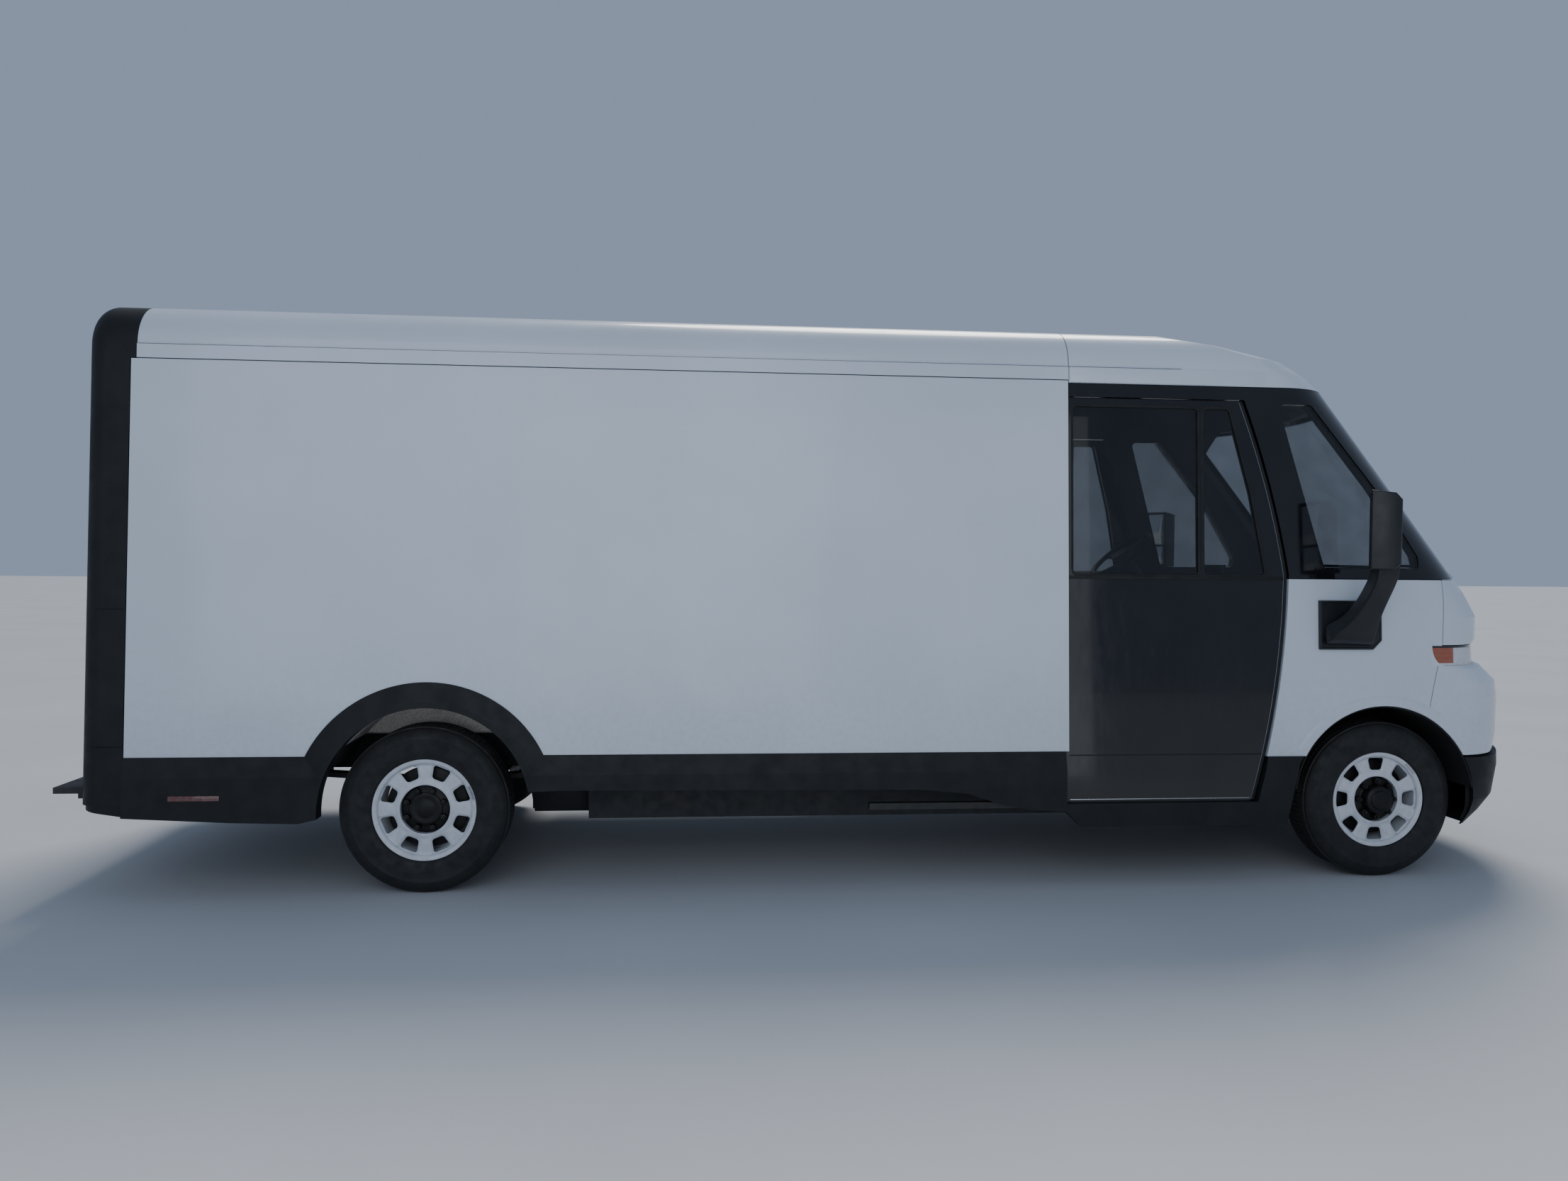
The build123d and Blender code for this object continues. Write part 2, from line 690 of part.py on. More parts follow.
with BuildPart() as arch_lip:
    add(
        right_slab(
            -CLAD_PROUD, CLAD_THICK, REAR_AXLE - 700, REAR_AXLE + 700, slope_low,
            ARCH_Z + REAR_ARCH_RING,
        )
    )
    add(arch_ring, mode=Mode.INTERSECT)
    add(ring_cone.part.moved(ring_plane.location), mode=Mode.SUBTRACT)
with BuildPart() as sill:
    add(right_slab(-CLAD_PROUD, SKIN - 2, SILL_START, CAB_REAR, 340, SILL_Z))
    add(right_slab(-CLAD_PROUD, CLAD_THICK, CAB_REAR - 300, FRONT_AXLE, 280, RAIL_SEAT))
    add(right_slab(-CLAD_PROUD, DOOR_DEPTH, CAB_REAR - 300, FRONT_AXLE, RAIL_SEAT, DOOR_SILL))
    add(right_slab(-CLAD_PROUD, CLAD_THICK, DOOR_POST_X, FRONT_AXLE, 280, FENDER_LOW))
    add(side_prism(sill_outline), mode=Mode.INTERSECT)
    add(door_hole, mode=Mode.SUBTRACT)
    add(edge_wedge.part, mode=Mode.SUBTRACT)
with BuildPart() as cladding:
    add(skirt.part)
    add(arch_lip.part)
    add(sill.part)
    add(cross_disc(REAR_ARCH_X, ARCH_Z, REAR_ARCH_R), mode=Mode.SUBTRACT)
    mirror(about=Plane.XZ)
save(cladding, "cladding")

# Door rails under each sliding door, running back into the pocket
RAIL_TOP_Z = DOOR_BOTTOM - SEAT_GAP
with BuildPart() as door_rails:
    add(
        right_slab(
            DOOR_DEPTH + 3, DOOR_DEPTH + DOOR_THICK - 3, POCKET_REAR + 20, FRONT_AXLE - 705,
            RAIL_SEAT, RAIL_TOP_Z,
        )
    )
    mirror(about=Plane.XZ)
save(door_rails, "door_rails")

# Sliding cab doors with their window holes, and the panes
DOOR_IN = DOOR_DEPTH + DOOR_THICK
PANE_OUT = DOOR_DEPTH + 6
PANE_IN = PANE_OUT + 6
DIVIDER_X = FRONT_AXLE - 955
DIVIDER_WIDE = 20
WINDOW_REAR = FRONT_AXLE - 1594
rear_pane = (
    (WINDOW_REAR, WINDOW_BOTTOM),
    (DIVIDER_X, WINDOW_BOTTOM),
    (DIVIDER_X, WINDOW_TOP),
    (WINDOW_REAR, WINDOW_TOP),
)
front_pane = (
    (DIVIDER_X + DIVIDER_WIDE, WINDOW_BOTTOM),
    (FRONT_AXLE - 612, WINDOW_BOTTOM),
    (FRONT_AXLE - 686, 1900),
    (FRONT_AXLE - 797, WINDOW_TOP),
    (DIVIDER_X + DIVIDER_WIDE, WINDOW_TOP),
)
door_plan = door_outline(0, DOOR_REAR)
with BuildPart() as window_space:
    add(side_prism(rear_pane, corner_r=PANE_ROUND))
    add(side_prism(front_pane, corner_r=PANE_ROUND))
with BuildPart() as door_right:
    add(right_slab(DOOR_DEPTH, DOOR_IN, DOOR_REAR, FRONT_AXLE, DOOR_BOTTOM - 5, DOOR_TOP + 5))
    add(door_plan, mode=Mode.INTERSECT)
    add(window_space.part, mode=Mode.SUBTRACT)
with BuildPart() as door_glass_right:
    add(right_slab(PANE_OUT, PANE_IN, WINDOW_REAR, FRONT_AXLE, WINDOW_BOTTOM, WINDOW_TOP))
    add(window_space.part, mode=Mode.INTERSECT)
with BuildPart() as door_left:
    add(door_right.part.mirror(Plane.XZ))
with BuildPart() as door_glass_left:
    add(door_glass_right.part.mirror(Plane.XZ))
save(door_right, "door_right")
save(door_glass_right, "door_glass_right")
save(door_left, "door_left")
save(door_glass_left, "door_glass_left")

# Bulkhead behind the seat, with a doorway and its sliding door
BULK_REAR = CAB_REAR - BULKHEAD_THICK
DOORWAY_RIGHT = -800
DOORWAY_LEFT = -200
DOORWAY_TOP = 2260
BULK_DOOR_THICK = 30
BULK_DOOR_TOP = 2300
BULK_TRAVEL = 640
TRACK_LEFT = DOORWAY_LEFT + 40 + BULK_TRAVEL
TRACK_RIGHT = DOORWAY_RIGHT - 40
with BuildPart() as bulkhead:
    add(body_section(45, BULK_REAR, CAB_REAR, FLOOR_TOP))
    for clear_in, low, high in (
        (LINER_DEPTH, 0, DOOR_TOP + 12),
        (LINER_IN, ROOF_SEAM_Z, SHOULDER_Z),
    ):
        wall_space = right_slab(-20, clear_in, BULK_REAR, CAB_REAR, low, high)
        add(wall_space, mode=Mode.SUBTRACT)
        add(wall_space.mirror(Plane.XZ), mode=Mode.SUBTRACT)
    add(
        block(BULK_REAR, CAB_REAR, DOORWAY_RIGHT, DOORWAY_LEFT, 0, DOORWAY_TOP), mode=Mode.SUBTRACT
    )
    add(
        block(
            BULK_REAR - MOVING_GAP - BULK_DOOR_THICK - 4, BULK_REAR, TRACK_RIGHT, TRACK_LEFT,
            BULK_DOOR_TOP + SEAT_GAP, BULK_DOOR_TOP + 46,
        )
    )
save(bulkhead, "bulkhead")
with BuildPart() as bulkhead_door:
    door_rear = BULK_REAR - MOVING_GAP - BULK_DOOR_THICK
    add(
        block(
            door_rear, BULK_REAR - MOVING_GAP, DOORWAY_RIGHT - 38, DOORWAY_LEFT + 38,
            FLOOR_TOP + MOVING_GAP, BULK_DOOR_TOP,
        )
    )
save(bulkhead_door, "bulkhead_door")

# Cab floor with a step well at each door
STEP_TOP = 440
WELL_Y = 720
WELL_FRONT = FRONT_AXLE - 740
CAB_FLOOR_FRONT = FRONT_AXLE - 480
TOE_TOP = 1000
floor_edge = half_width(CAB_FLOOR_TOP) - LINER_DEPTH
toe_edge = half_width(TOE_TOP) - LINER_DEPTH
with BuildPart() as cab_floor:
    add(block(CAB_REAR, CAB_FLOOR_FRONT, -WELL_Y, WELL_Y, RAIL_TOP, CAB_FLOOR_TOP))
    add(block(WELL_FRONT, CAB_FLOOR_FRONT, -floor_edge, floor_edge, RAIL_TOP, CAB_FLOOR_TOP))
    for y0, y1 in ((-floor_edge, -WELL_Y + 20), (WELL_Y - 20, floor_edge)):
        add(block(CAB_REAR, WELL_FRONT + 20, y0, y1, STEP_TOP - 20, STEP_TOP))
        add(block(CAB_REAR, CAB_REAR + 20, y0, y1, STEP_TOP, RAIL_TOP))
        add(block(WELL_FRONT, WELL_FRONT + 20, y0, y1, STEP_TOP, RAIL_TOP))
    for y0 in (-WELL_Y, WELL_Y - 20):
        add(block(CAB_REAR, WELL_FRONT + 20, y0, y0 + 20, STEP_TOP - 20, RAIL_TOP))
    add(block(CAB_REAR, CAB_REAR + 20, -WELL_Y, WELL_Y, RAIL_TOP, FLOOR_TOP))
    add(block(CAB_FLOOR_FRONT - 20, CAB_FLOOR_FRONT, -toe_edge, toe_edge, CAB_FLOOR_TOP, TOE_TOP))
save(cab_floor, "cab_floor")

# Ladder frame under both floors
FRAME_FRONT = FRONT_AXLE + 440
CROSS_WIDE = 70
cross_places = (-1200, -640, 640, 1300, 1900, 2500, 2950)
PAD_LONG = 100
PAD_DEEP = 12
pad_places = (REAR_AXLE - 950, FRONT_AXLE - 620)
with BuildPart() as chassis_frame:
    for side in (-1, 1):
        y0 = side * RAIL_Y - RAIL_WIDE / 2
        add(block(PANEL_REAR - SEAM, FRAME_FRONT, y0, y0 + RAIL_WIDE, RAIL_BOTTOM, RAIL_TOP))
        for middle in pad_places:
            x0 = middle - PAD_LONG / 2
            add(
                block(
                    x0, x0 + PAD_LONG, y0, y0 + RAIL_WIDE, RAIL_BOTTOM - PAD_DEEP, RAIL_BOTTOM
                )
            )
    for place in cross_places:
        x0 = REAR_AXLE + place
        add(block(x0, x0 + CROSS_WIDE, -900, 900, RAIL_TOP, FLOOR_TOP - FLOOR_THICK))
        add(
            block(
                x0, x0 + CROSS_WIDE, -RAIL_Y - RAIL_WIDE / 2, RAIL_Y + RAIL_WIDE / 2,
                RAIL_BOTTOM, RAIL_TOP,
            )
        )
    add(
        block(
            FRAME_FRONT - CROSS_WIDE, FRAME_FRONT, -RAIL_Y, RAIL_Y, RAIL_BOTTOM, RAIL_TOP
        )
    )
save(chassis_frame, "chassis_frame")

# Battery: a wide block between the sills with a narrow end between the leaf springs
BATTERY_LOW = 280
BATTERY_REAR = REAR_AXLE + 730
with BuildPart() as battery_pack:
    add(block(BATTERY_REAR, FRONT_AXLE - 1500, -690, 690, BATTERY_LOW, RAIL_BOTTOM))
    add(block(BATTERY_REAR - 300, BATTERY_REAR, -450, 450, BATTERY_LOW, RAIL_BOTTOM))
save(battery_pack, "battery_pack")

# Front suspension: a cradle under the rails, its arms, and the struts over the knuckles
ARM_LOW = 270
ARM_HIGH = 318
ARM_TIP = 720
ARM_TIP_HALF = 45
KNUCKLE_IN = 660
STRUT_Y = 662
STRUT_R = 22
STRUT_FOOT = 500
CRADLE_REAR = FRONT_AXLE - 260
CRADLE_FRONT = FRONT_AXLE + 300
CRADLE_Y = 420
TOWER_LONG = 100
TOWER_WIDE = 50
strut_top = ARCH_Z + ARCH_R - 18
with BuildPart() as front_suspension:
    add(block(CRADLE_REAR, CRADLE_FRONT, -CRADLE_Y, CRADLE_Y, ARM_LOW, ARM_HIGH))
    for x0 in (CRADLE_REAR, CRADLE_FRONT - TOWER_LONG):
        for y0 in (-CRADLE_Y, CRADLE_Y - TOWER_WIDE):
            add(block(x0, x0 + TOWER_LONG, y0, y0 + TOWER_WIDE, ARM_HIGH, RAIL_BOTTOM))
    with BuildSketch(Plane.XY.offset(ARM_LOW)):
        for side in (-1, 1):
            Polygon(
                (FRONT_AXLE - 200, side * CRADLE_Y),
                (FRONT_AXLE + 200, side * CRADLE_Y),
                (FRONT_AXLE + ARM_TIP_HALF, side * ARM_TIP),
                (FRONT_AXLE - ARM_TIP_HALF, side * ARM_TIP),
                align=None,
            )
    extrude(amount=ARM_HIGH - ARM_LOW)
    with BuildSketch(Plane.XY.offset(STRUT_FOOT + SEAT_GAP)):
        with Locations((FRONT_AXLE, -STRUT_Y), (FRONT_AXLE, STRUT_Y)):
            Circle(STRUT_R)
    extrude(amount=strut_top - STRUT_FOOT - SEAT_GAP)
save(front_suspension, "front_suspension")

# Drive unit on the cradle, a plain block with a shaft to each knuckle
UNIT_HALF = 190
UNIT_Y = 300
UNIT_TOP = 700
SHAFT_R = 18
SHAFT_Y = KNUCKLE_IN - 40
with BuildPart() as drive_unit:
    add(
        block(FRONT_AXLE - UNIT_HALF, FRONT_AXLE + UNIT_HALF, -UNIT_Y, UNIT_Y, ARM_HIGH, UNIT_TOP)
    )
    with BuildSketch(Plane.XZ):
        with Locations((FRONT_AXLE, TYRE_R)):
            Circle(SHAFT_R)
    extrude(amount=SHAFT_Y, both=True)
save(drive_unit, "drive_unit")

# Rear beam axle on leaf springs
SPRING_Y = 535
SPRING_WIDE = 70
SPRING_SPAN = 600
BEAM_R = 48
with BuildPart() as rear_axle:
    with BuildSketch(Plane.XZ):
        with Locations((REAR_AXLE, TYRE_R)):
            Circle(BEAM_R)
    extrude(amount=HUB_FACE, both=True)
save(rear_axle, "rear_axle")
spring_outline = (
    (REAR_AXLE - SPRING_SPAN, RAIL_BOTTOM - 24),
    (REAR_AXLE - 60, TYRE_R + BEAM_R),
    (REAR_AXLE + 60, TYRE_R + BEAM_R),
    (REAR_AXLE + SPRING_SPAN, RAIL_BOTTOM - 24),
    (REAR_AXLE + SPRING_SPAN, RAIL_BOTTOM),
    (REAR_AXLE + 60, TYRE_R + BEAM_R + 28),
    (REAR_AXLE - 60, TYRE_R + BEAM_R + 28),
    (REAR_AXLE - SPRING_SPAN, RAIL_BOTTOM),
)
with BuildPart() as leaf_springs:
    add(side_prism(spring_outline, SPRING_Y + SPRING_WIDE / 2, SPRING_Y - SPRING_WIDE / 2))
    for x0 in (REAR_AXLE - SPRING_SPAN, REAR_AXLE + SPRING_SPAN - 50):
        add(
            block(
                x0, x0 + 50, -SPRING_Y - SPRING_WIDE / 2, -RAIL_Y - RAIL_WIDE / 2,
                RAIL_BOTTOM - 20, RAIL_TOP,
            )
        )
    mirror(about=Plane.XZ)
save(leaf_springs, "leaf_springs")

# Wheel arch liners, front and rear
LINER_WALL = 8
FRONT_LINER_LOW = 460
REAR_LINER_LOW = 585
REAR_LINER_Y = 610
with BuildPart() as front_liner:
    add(cross_disc(FRONT_ARCH_X, ARCH_Z, ARCH_R, FRONT_LINER_Y - LINER_WALL))
    add(
        cross_disc(FRONT_ARCH_X, ARCH_Z, ARCH_R - LINER_WALL, FRONT_LINER_Y), mode=Mode.SUBTRACT
    )
    add(block(FRONT_AXLE - 600, NOSE_X, -FAR, 0, -FAR, FRONT_LINER_LOW), mode=Mode.SUBTRACT)
    add(right_slab(-FAR, SKIN, FRONT_AXLE - 600, NOSE_X, 0, 1200), mode=Mode.SUBTRACT)
with BuildPart() as rear_liner:
    add(cross_disc(REAR_ARCH_X, ARCH_Z, REAR_ARCH_R + LINER_WALL, REAR_LINER_Y - LINER_WALL))
    add(cross_disc(REAR_ARCH_X, ARCH_Z, REAR_ARCH_R, REAR_LINER_Y), mode=Mode.SUBTRACT)
    add(
        block(REAR_AXLE - 600, REAR_AXLE + 600, -FAR, 0, -FAR, REAR_LINER_LOW), mode=Mode.SUBTRACT
    )
    add(right_slab(-FAR, CLAD_THICK, REAR_AXLE - 600, REAR_AXLE + 600, 0, 1200), mode=Mode.SUBTRACT)
with BuildPart() as arch_liners:
    add(front_liner.part)
    add(rear_liner.part)
    mirror(about=Plane.XZ)
save(arch_liners, "arch_liners")

# Wheel: built about +Z with its outer face up, then set on each hub
RIM_HALF = 98
FLANGE = 8
BARREL = 9
DISC_TOP = 78
DISC_THICK = 12
WINDOW_PITCH_R = 167
WINDOW_DEEP = 50
WINDOW_WIDE = 74
WINDOW_SLANT = 80
WINDOW_ROUND = 10
HUB_R = 109
HUB_LIP = 14
HUB_TOP = 62
BORE_HALF = RIM_HALF - FLANGE
TYRE_HALF = TYRE_WIDE / 2
hub_back = HUB_FACE + SEAT_GAP - WHEEL_Y


def steel_wheel(boss_r, boss_top):
    """A pressed steel wheel on its hub, whose boss stands up to boss_top."""
    with BuildPart() as wheel:
        with BuildSketch(Plane.XZ):
            with BuildLine():
                Polyline(
                    (RIM_BED_R - BARREL, -RIM_HALF + 2),
                    (RIM_R, -RIM_HALF),
                    (RIM_R, -BORE_HALF),
                    (RIM_BED_R, -BORE_HALF),
                    (RIM_BED_R, BORE_HALF),
                    (RIM_R, BORE_HALF),
                    (RIM_R, RIM_HALF),
                    (RIM_R - 6, RIM_HALF),
                    (RIM_BED_R - 5, RIM_HALF - 2),
                    (RIM_BED_R - BARREL, BORE_HALF),
                    (RIM_BED_R - BARREL, DISC_TOP - 3),
                    (RIM_BED_R - BARREL - 12, DISC_TOP),
                    (HUB_R + HUB_LIP + 6, DISC_TOP),
                    (HUB_R + HUB_LIP, DISC_TOP + 6),
                    (HUB_R, DISC_TOP + 6),
                    (HUB_R, HUB_TOP),
                    (0, HUB_TOP),
                    (0, hub_back),
                    (HUB_R - 20, hub_back),
                    (HUB_R, DISC_TOP - DISC_THICK - 20),
                    (RIM_BED_R - BARREL, DISC_TOP - DISC_THICK),
                    close=True,
                )
            make_face()
        revolve(axis=Axis.Z)
        with BuildSketch(Plane.XY) as windows:
            with PolarLocations(WINDOW_PITCH_R, 8):
                Trapezoid(WINDOW_WIDE, WINDOW_DEEP, WINDOW_SLANT, rotation=90)
            fillet(windows.vertices(), WINDOW_ROUND)
        extrude(amount=RIM_HALF, mode=Mode.SUBTRACT)
        with BuildSketch(Plane.XY.offset(HUB_TOP)):
            Circle(boss_r)
        extrude(amount=boss_top - HUB_TOP)
    return wheel


with BuildPart() as tyre:
    with BuildSketch(Plane.XZ):
        with BuildLine():
            Polyline(
                (TYRE_R - 16, -BORE_HALF - 8),
                (TYRE_R, -BORE_HALF + 8),
                (TYRE_R, BORE_HALF - 8),
                (TYRE_R - 16, BORE_HALF + 8),
            )
            ThreePointArc(
                (TYRE_R - 16, BORE_HALF + 8), (305, TYRE_HALF), (RIM_R + 1, RIM_HALF + 2)
            )
            ThreePointArc(
                (TYRE_R - 16, -BORE_HALF - 8), (305, -TYRE_HALF), (RIM_R + 1, -RIM_HALF - 2)
            )
            Polyline(
                (RIM_R + 1, RIM_HALF + 2), (RIM_R + 1, BORE_HALF), (RIM_BED_R, BORE_HALF),
                (RIM_BED_R, -BORE_HALF), (RIM_R + 1, -BORE_HALF), (RIM_R + 1, -RIM_HALF - 2),
            )
        make_face()
    revolve(axis=Axis.Z)

# The driven front hubs stand out through the wheel, the rear ones stay inside it
front_rim = steel_wheel(70, RIM_HALF + 28)
rear_rim = steel_wheel(78, HUB_TOP + 10)

# Wheel places: name, axle, side, rim
wheel_places = (
    ("front_right", FRONT_AXLE, -1, front_rim),
    ("front_left", FRONT_AXLE, 1, front_rim),
    ("rear_right", REAR_AXLE, -1, rear_rim),
    ("rear_left", REAR_AXLE, 1, rear_rim),
)
for name, axle, side, rim in wheel_places:
    hub_plane = Plane(origin=(axle, side * WHEEL_Y, TYRE_R), x_dir=(1, 0, 0), z_dir=(0, side, 0))
    for piece, builder in (("rim", rim), ("tyre", tyre)):
        with BuildPart() as placed:
            with Locations(hub_plane.location):
                add(builder.part)
        save(placed, f"{piece}_{name}")

# Steering knuckles about their kingpins, seated on the arms and under the struts
KNUCKLE_HALF = 50
KINGPIN_R = 30
SPINDLE_R = 38
for name, side in (("right", -1), ("left", 1)):
    with BuildPart() as knuckle:
        y0, y1 = sorted((side * KNUCKLE_IN, side * KINGPIN_Y))
        add(
            block(
                FRONT_AXLE - KNUCKLE_HALF, FRONT_AXLE + KNUCKLE_HALF, y0, y1,
                ARM_HIGH + SEAT_GAP, STRUT_FOOT,
            )
        )
        with BuildSketch(Plane.XY.offset(ARM_HIGH + SEAT_GAP)):
            with Locations((FRONT_AXLE, side * KINGPIN_Y)):
                Circle(KINGPIN_R)
        extrude(amount=STRUT_FOOT - ARM_HIGH - SEAT_GAP)
        with BuildSketch(Plane.XZ.offset(-side * KINGPIN_Y)):
            with Locations((FRONT_AXLE, TYRE_R)):
                Circle(SPINDLE_R)
        extrude(amount=-side * (HUB_FACE - KINGPIN_Y))
    save(knuckle, f"knuckle_{name}")

# Driver's seat on the left: plain pedestal and pads
SEAT_Y = 430
SEAT_X = FRONT_AXLE - 1200
SEAT_PAN = 1110
CUSHION_TOP = 1250
BACK_TOP = 1850
HEAD_TOP = 2050
CUSHION_WIDE = 500
BACK_WIDE = 480
HEAD_WIDE = 260
with BuildPart() as seat_base:
    add(
        block(
            SEAT_X - 190, SEAT_X + 190, SEAT_Y - 180, SEAT_Y + 180, CAB_FLOOR_TOP, SEAT_PAN - 30
        )
    )
    add(block(SEAT_X - 250, SEAT_X + 250, SEAT_Y - 230, SEAT_Y + 230, SEAT_PAN - 30, SEAT_PAN))
save(seat_base, "seat_base")
back_outline = (
    (SEAT_X - 240, CUSHION_TOP),
    (SEAT_X - 130, CUSHION_TOP),
    (SEAT_X - 215, BACK_TOP),
    (SEAT_X - 305, BACK_TOP),
)
with BuildPart() as seat_pads:
    add(
        block(
            SEAT_X - 245, SEAT_X + 265, SEAT_Y - CUSHION_WIDE / 2, SEAT_Y + CUSHION_WIDE / 2,
            SEAT_PAN + SEAT_GAP, CUSHION_TOP - SEAT_GAP,
        )
    )
    with BuildSketch(Plane.XZ.offset(-SEAT_Y - BACK_WIDE / 2)):
        Polygon(*back_outline, align=None)
    extrude(amount=BACK_WIDE)
    add(
        block(
            SEAT_X - 310, SEAT_X - 220, SEAT_Y - HEAD_WIDE / 2, SEAT_Y + HEAD_WIDE / 2,
            BACK_TOP + SEAT_GAP, HEAD_TOP,
        )
    )
save(seat_pads, "seat_pads")

# Steering column and wheel, tipped towards the driver
STEER_X = FRONT_AXLE - 790
STEER_Z = 1610
STEER_TILT = 38
COLUMN_LEN = 600
COLUMN_R = 38
RING_R = 200
RING_SECTION_R = 15
SPOKE_WIDE = 40
SPOKE_THICK = 16
HUB_DEEP = 50
DISH = 10
steer_axis = (-sin(radians(STEER_TILT)), 0, cos(radians(STEER_TILT)))
steer_plane = Plane(origin=(STEER_X, SEAT_Y, STEER_Z), x_dir=(0, 1, 0), z_dir=steer_axis)
with BuildPart(steer_plane) as steering_wheel:
    Torus(RING_R, RING_SECTION_R)
    with Locations((0, 0, -DISH)):
        Cylinder(60, HUB_DEEP)
        Box(2 * RING_R, SPOKE_WIDE, SPOKE_THICK)
    with Locations((0, -RING_R / 2, -DISH)):
        Box(SPOKE_WIDE, RING_R, SPOKE_THICK)
save(steering_wheel, "steering_wheel")
with BuildPart(steer_plane) as steering_column:
    with Locations((0, 0, -DISH - HUB_DEEP / 2 - SEAT_GAP - COLUMN_LEN / 2)):
        Cylinder(COLUMN_R, COLUMN_LEN)
save(steering_column, "steering_column")

# Dashboard across the cab, against the inner shell
dash_outline = (
    (FRONT_AXLE - 380, 960),
    (FRONT_AXLE - 460, 1130),
    (FRONT_AXLE - 450, 1330),
    (FRONT_AXLE - 330, 1430),
    (FRONT_AXLE + 80, 1440),
    (FRONT_AXLE + 520, 1440),
    (FRONT_AXLE + 520, 1400),
    (FRONT_AXLE - 60, 1380),
    (FRONT_AXLE - 160, 1240),
    (FRONT_AXLE - 160, 960),
)
with BuildPart() as dashboard:
    add(side_prism(dash_outline))
    add(shell_inner, mode=Mode.INTERSECT)
    mirror(about=Plane.XZ)
    add(steering_column.part, mode=Mode.SUBTRACT)
save(dashboard, "dashboard")

# Door mirrors on plates on the fenders, their heads turned towards the driver
MIRROR_X = FRONT_AXLE - 180
MIRROR_OUT = 1340
MIRROR_LOW = 1537
MIRROR_HIGH = 1910
MIRROR_DEEP = 130
MIRROR_WIDE = 160
MIRROR_YAW = 30
MIRROR_ROUND = 28
MIRROR_ARM = 105
turned_half = (
    (MIRROR_WIDE / 2 - MIRROR_ROUND) * cos(radians(MIRROR_YAW))
    + (MIRROR_DEEP / 2 - MIRROR_ROUND) * sin(radians(MIRROR_YAW))
    + MIRROR_ROUND
)
mirror_y = turned_half - MIRROR_OUT
head_middle = (MIRROR_X, mirror_y, (MIRROR_LOW + MIRROR_HIGH) / 2)
arm_outline = (
    (-1014, 1190),
    (-1066, 1190),
    (mirror_y - 40, 1480),
    (mirror_y - 40, MIRROR_LOW + 20),
    (mirror_y + 40, MIRROR_LOW + 20),
    (mirror_y + 30, 1490),
    (-1014, 1310),
)
with BuildPart() as mirror_head:
    with Locations(Location(head_middle, (0, 0, -MIRROR_YAW))):
        Box(MIRROR_DEEP, MIRROR_WIDE, MIRROR_HIGH - MIRROR_LOW)
    fillet(mirror_head.edges().filter_by(Axis.Z), MIRROR_ROUND)
with BuildPart() as mirrors:
    add(right_slab(-22, 0, FRONT_AXLE - 355, FRONT_AXLE - 38, 1142, 1382))
    with BuildSketch(Plane.YZ.offset(MIRROR_X - MIRROR_ARM / 2)):
        Polygon(*arm_outline, align=None)
    extrude(amount=MIRROR_ARM)
    add(mirror_head.part)
    mirror(about=Plane.XZ)
save(mirrors, "mirrors")
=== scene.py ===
"""Electric delivery van: finishes, detail pieces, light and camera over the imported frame.

Metres, in the frame's own axes: +X forward, +Y to the left side, +Z up, ground at zero.
"""

import json
import logging
import math
from dataclasses import dataclass
from enum import Enum
from typing import Callable, Iterable

import bpy
from mathutils import Matrix, Vector


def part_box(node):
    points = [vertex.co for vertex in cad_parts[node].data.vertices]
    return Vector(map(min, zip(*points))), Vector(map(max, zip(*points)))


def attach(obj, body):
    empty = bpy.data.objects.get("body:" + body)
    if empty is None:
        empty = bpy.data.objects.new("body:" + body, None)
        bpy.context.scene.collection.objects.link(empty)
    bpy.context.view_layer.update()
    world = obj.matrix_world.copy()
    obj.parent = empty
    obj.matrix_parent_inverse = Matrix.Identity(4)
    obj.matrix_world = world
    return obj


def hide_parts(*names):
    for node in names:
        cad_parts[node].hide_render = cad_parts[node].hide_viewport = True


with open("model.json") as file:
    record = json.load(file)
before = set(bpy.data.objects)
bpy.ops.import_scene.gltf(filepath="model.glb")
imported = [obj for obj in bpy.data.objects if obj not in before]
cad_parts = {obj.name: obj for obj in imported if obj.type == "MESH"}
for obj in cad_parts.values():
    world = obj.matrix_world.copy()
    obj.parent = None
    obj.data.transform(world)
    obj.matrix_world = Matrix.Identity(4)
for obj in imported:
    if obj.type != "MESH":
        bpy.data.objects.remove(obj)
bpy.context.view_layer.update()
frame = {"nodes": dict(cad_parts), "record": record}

log = logging.getLogger("van")

Piece = bpy.types.Object
Socket = bpy.types.NodeSocket
Point = tuple[float, float]
Outline = list[Point]
Colour = tuple[float, float, float]
FaceTest = Callable[[bpy.types.MeshPolygon], bool]
EdgeTest = Callable[[Vector, Vector], bool]

EVEN = (1, 1, 1)
FORWARDS = Vector((1, 0, 0))
BACKWARDS = Vector((-1, 0, 0))
OUTWARDS = Vector((0, -1, 0))
UP = Vector((0, 0, 1))
FACING_SHARE = 0.5


class Side(Enum):
    """The two sides of the van, as the sign of Y."""

    RIGHT = -1
    LEFT = 1

    @property
    def word(self) -> str:
        """The side's name as the frame's nodes and bodies spell it."""
        return self.name.lower()


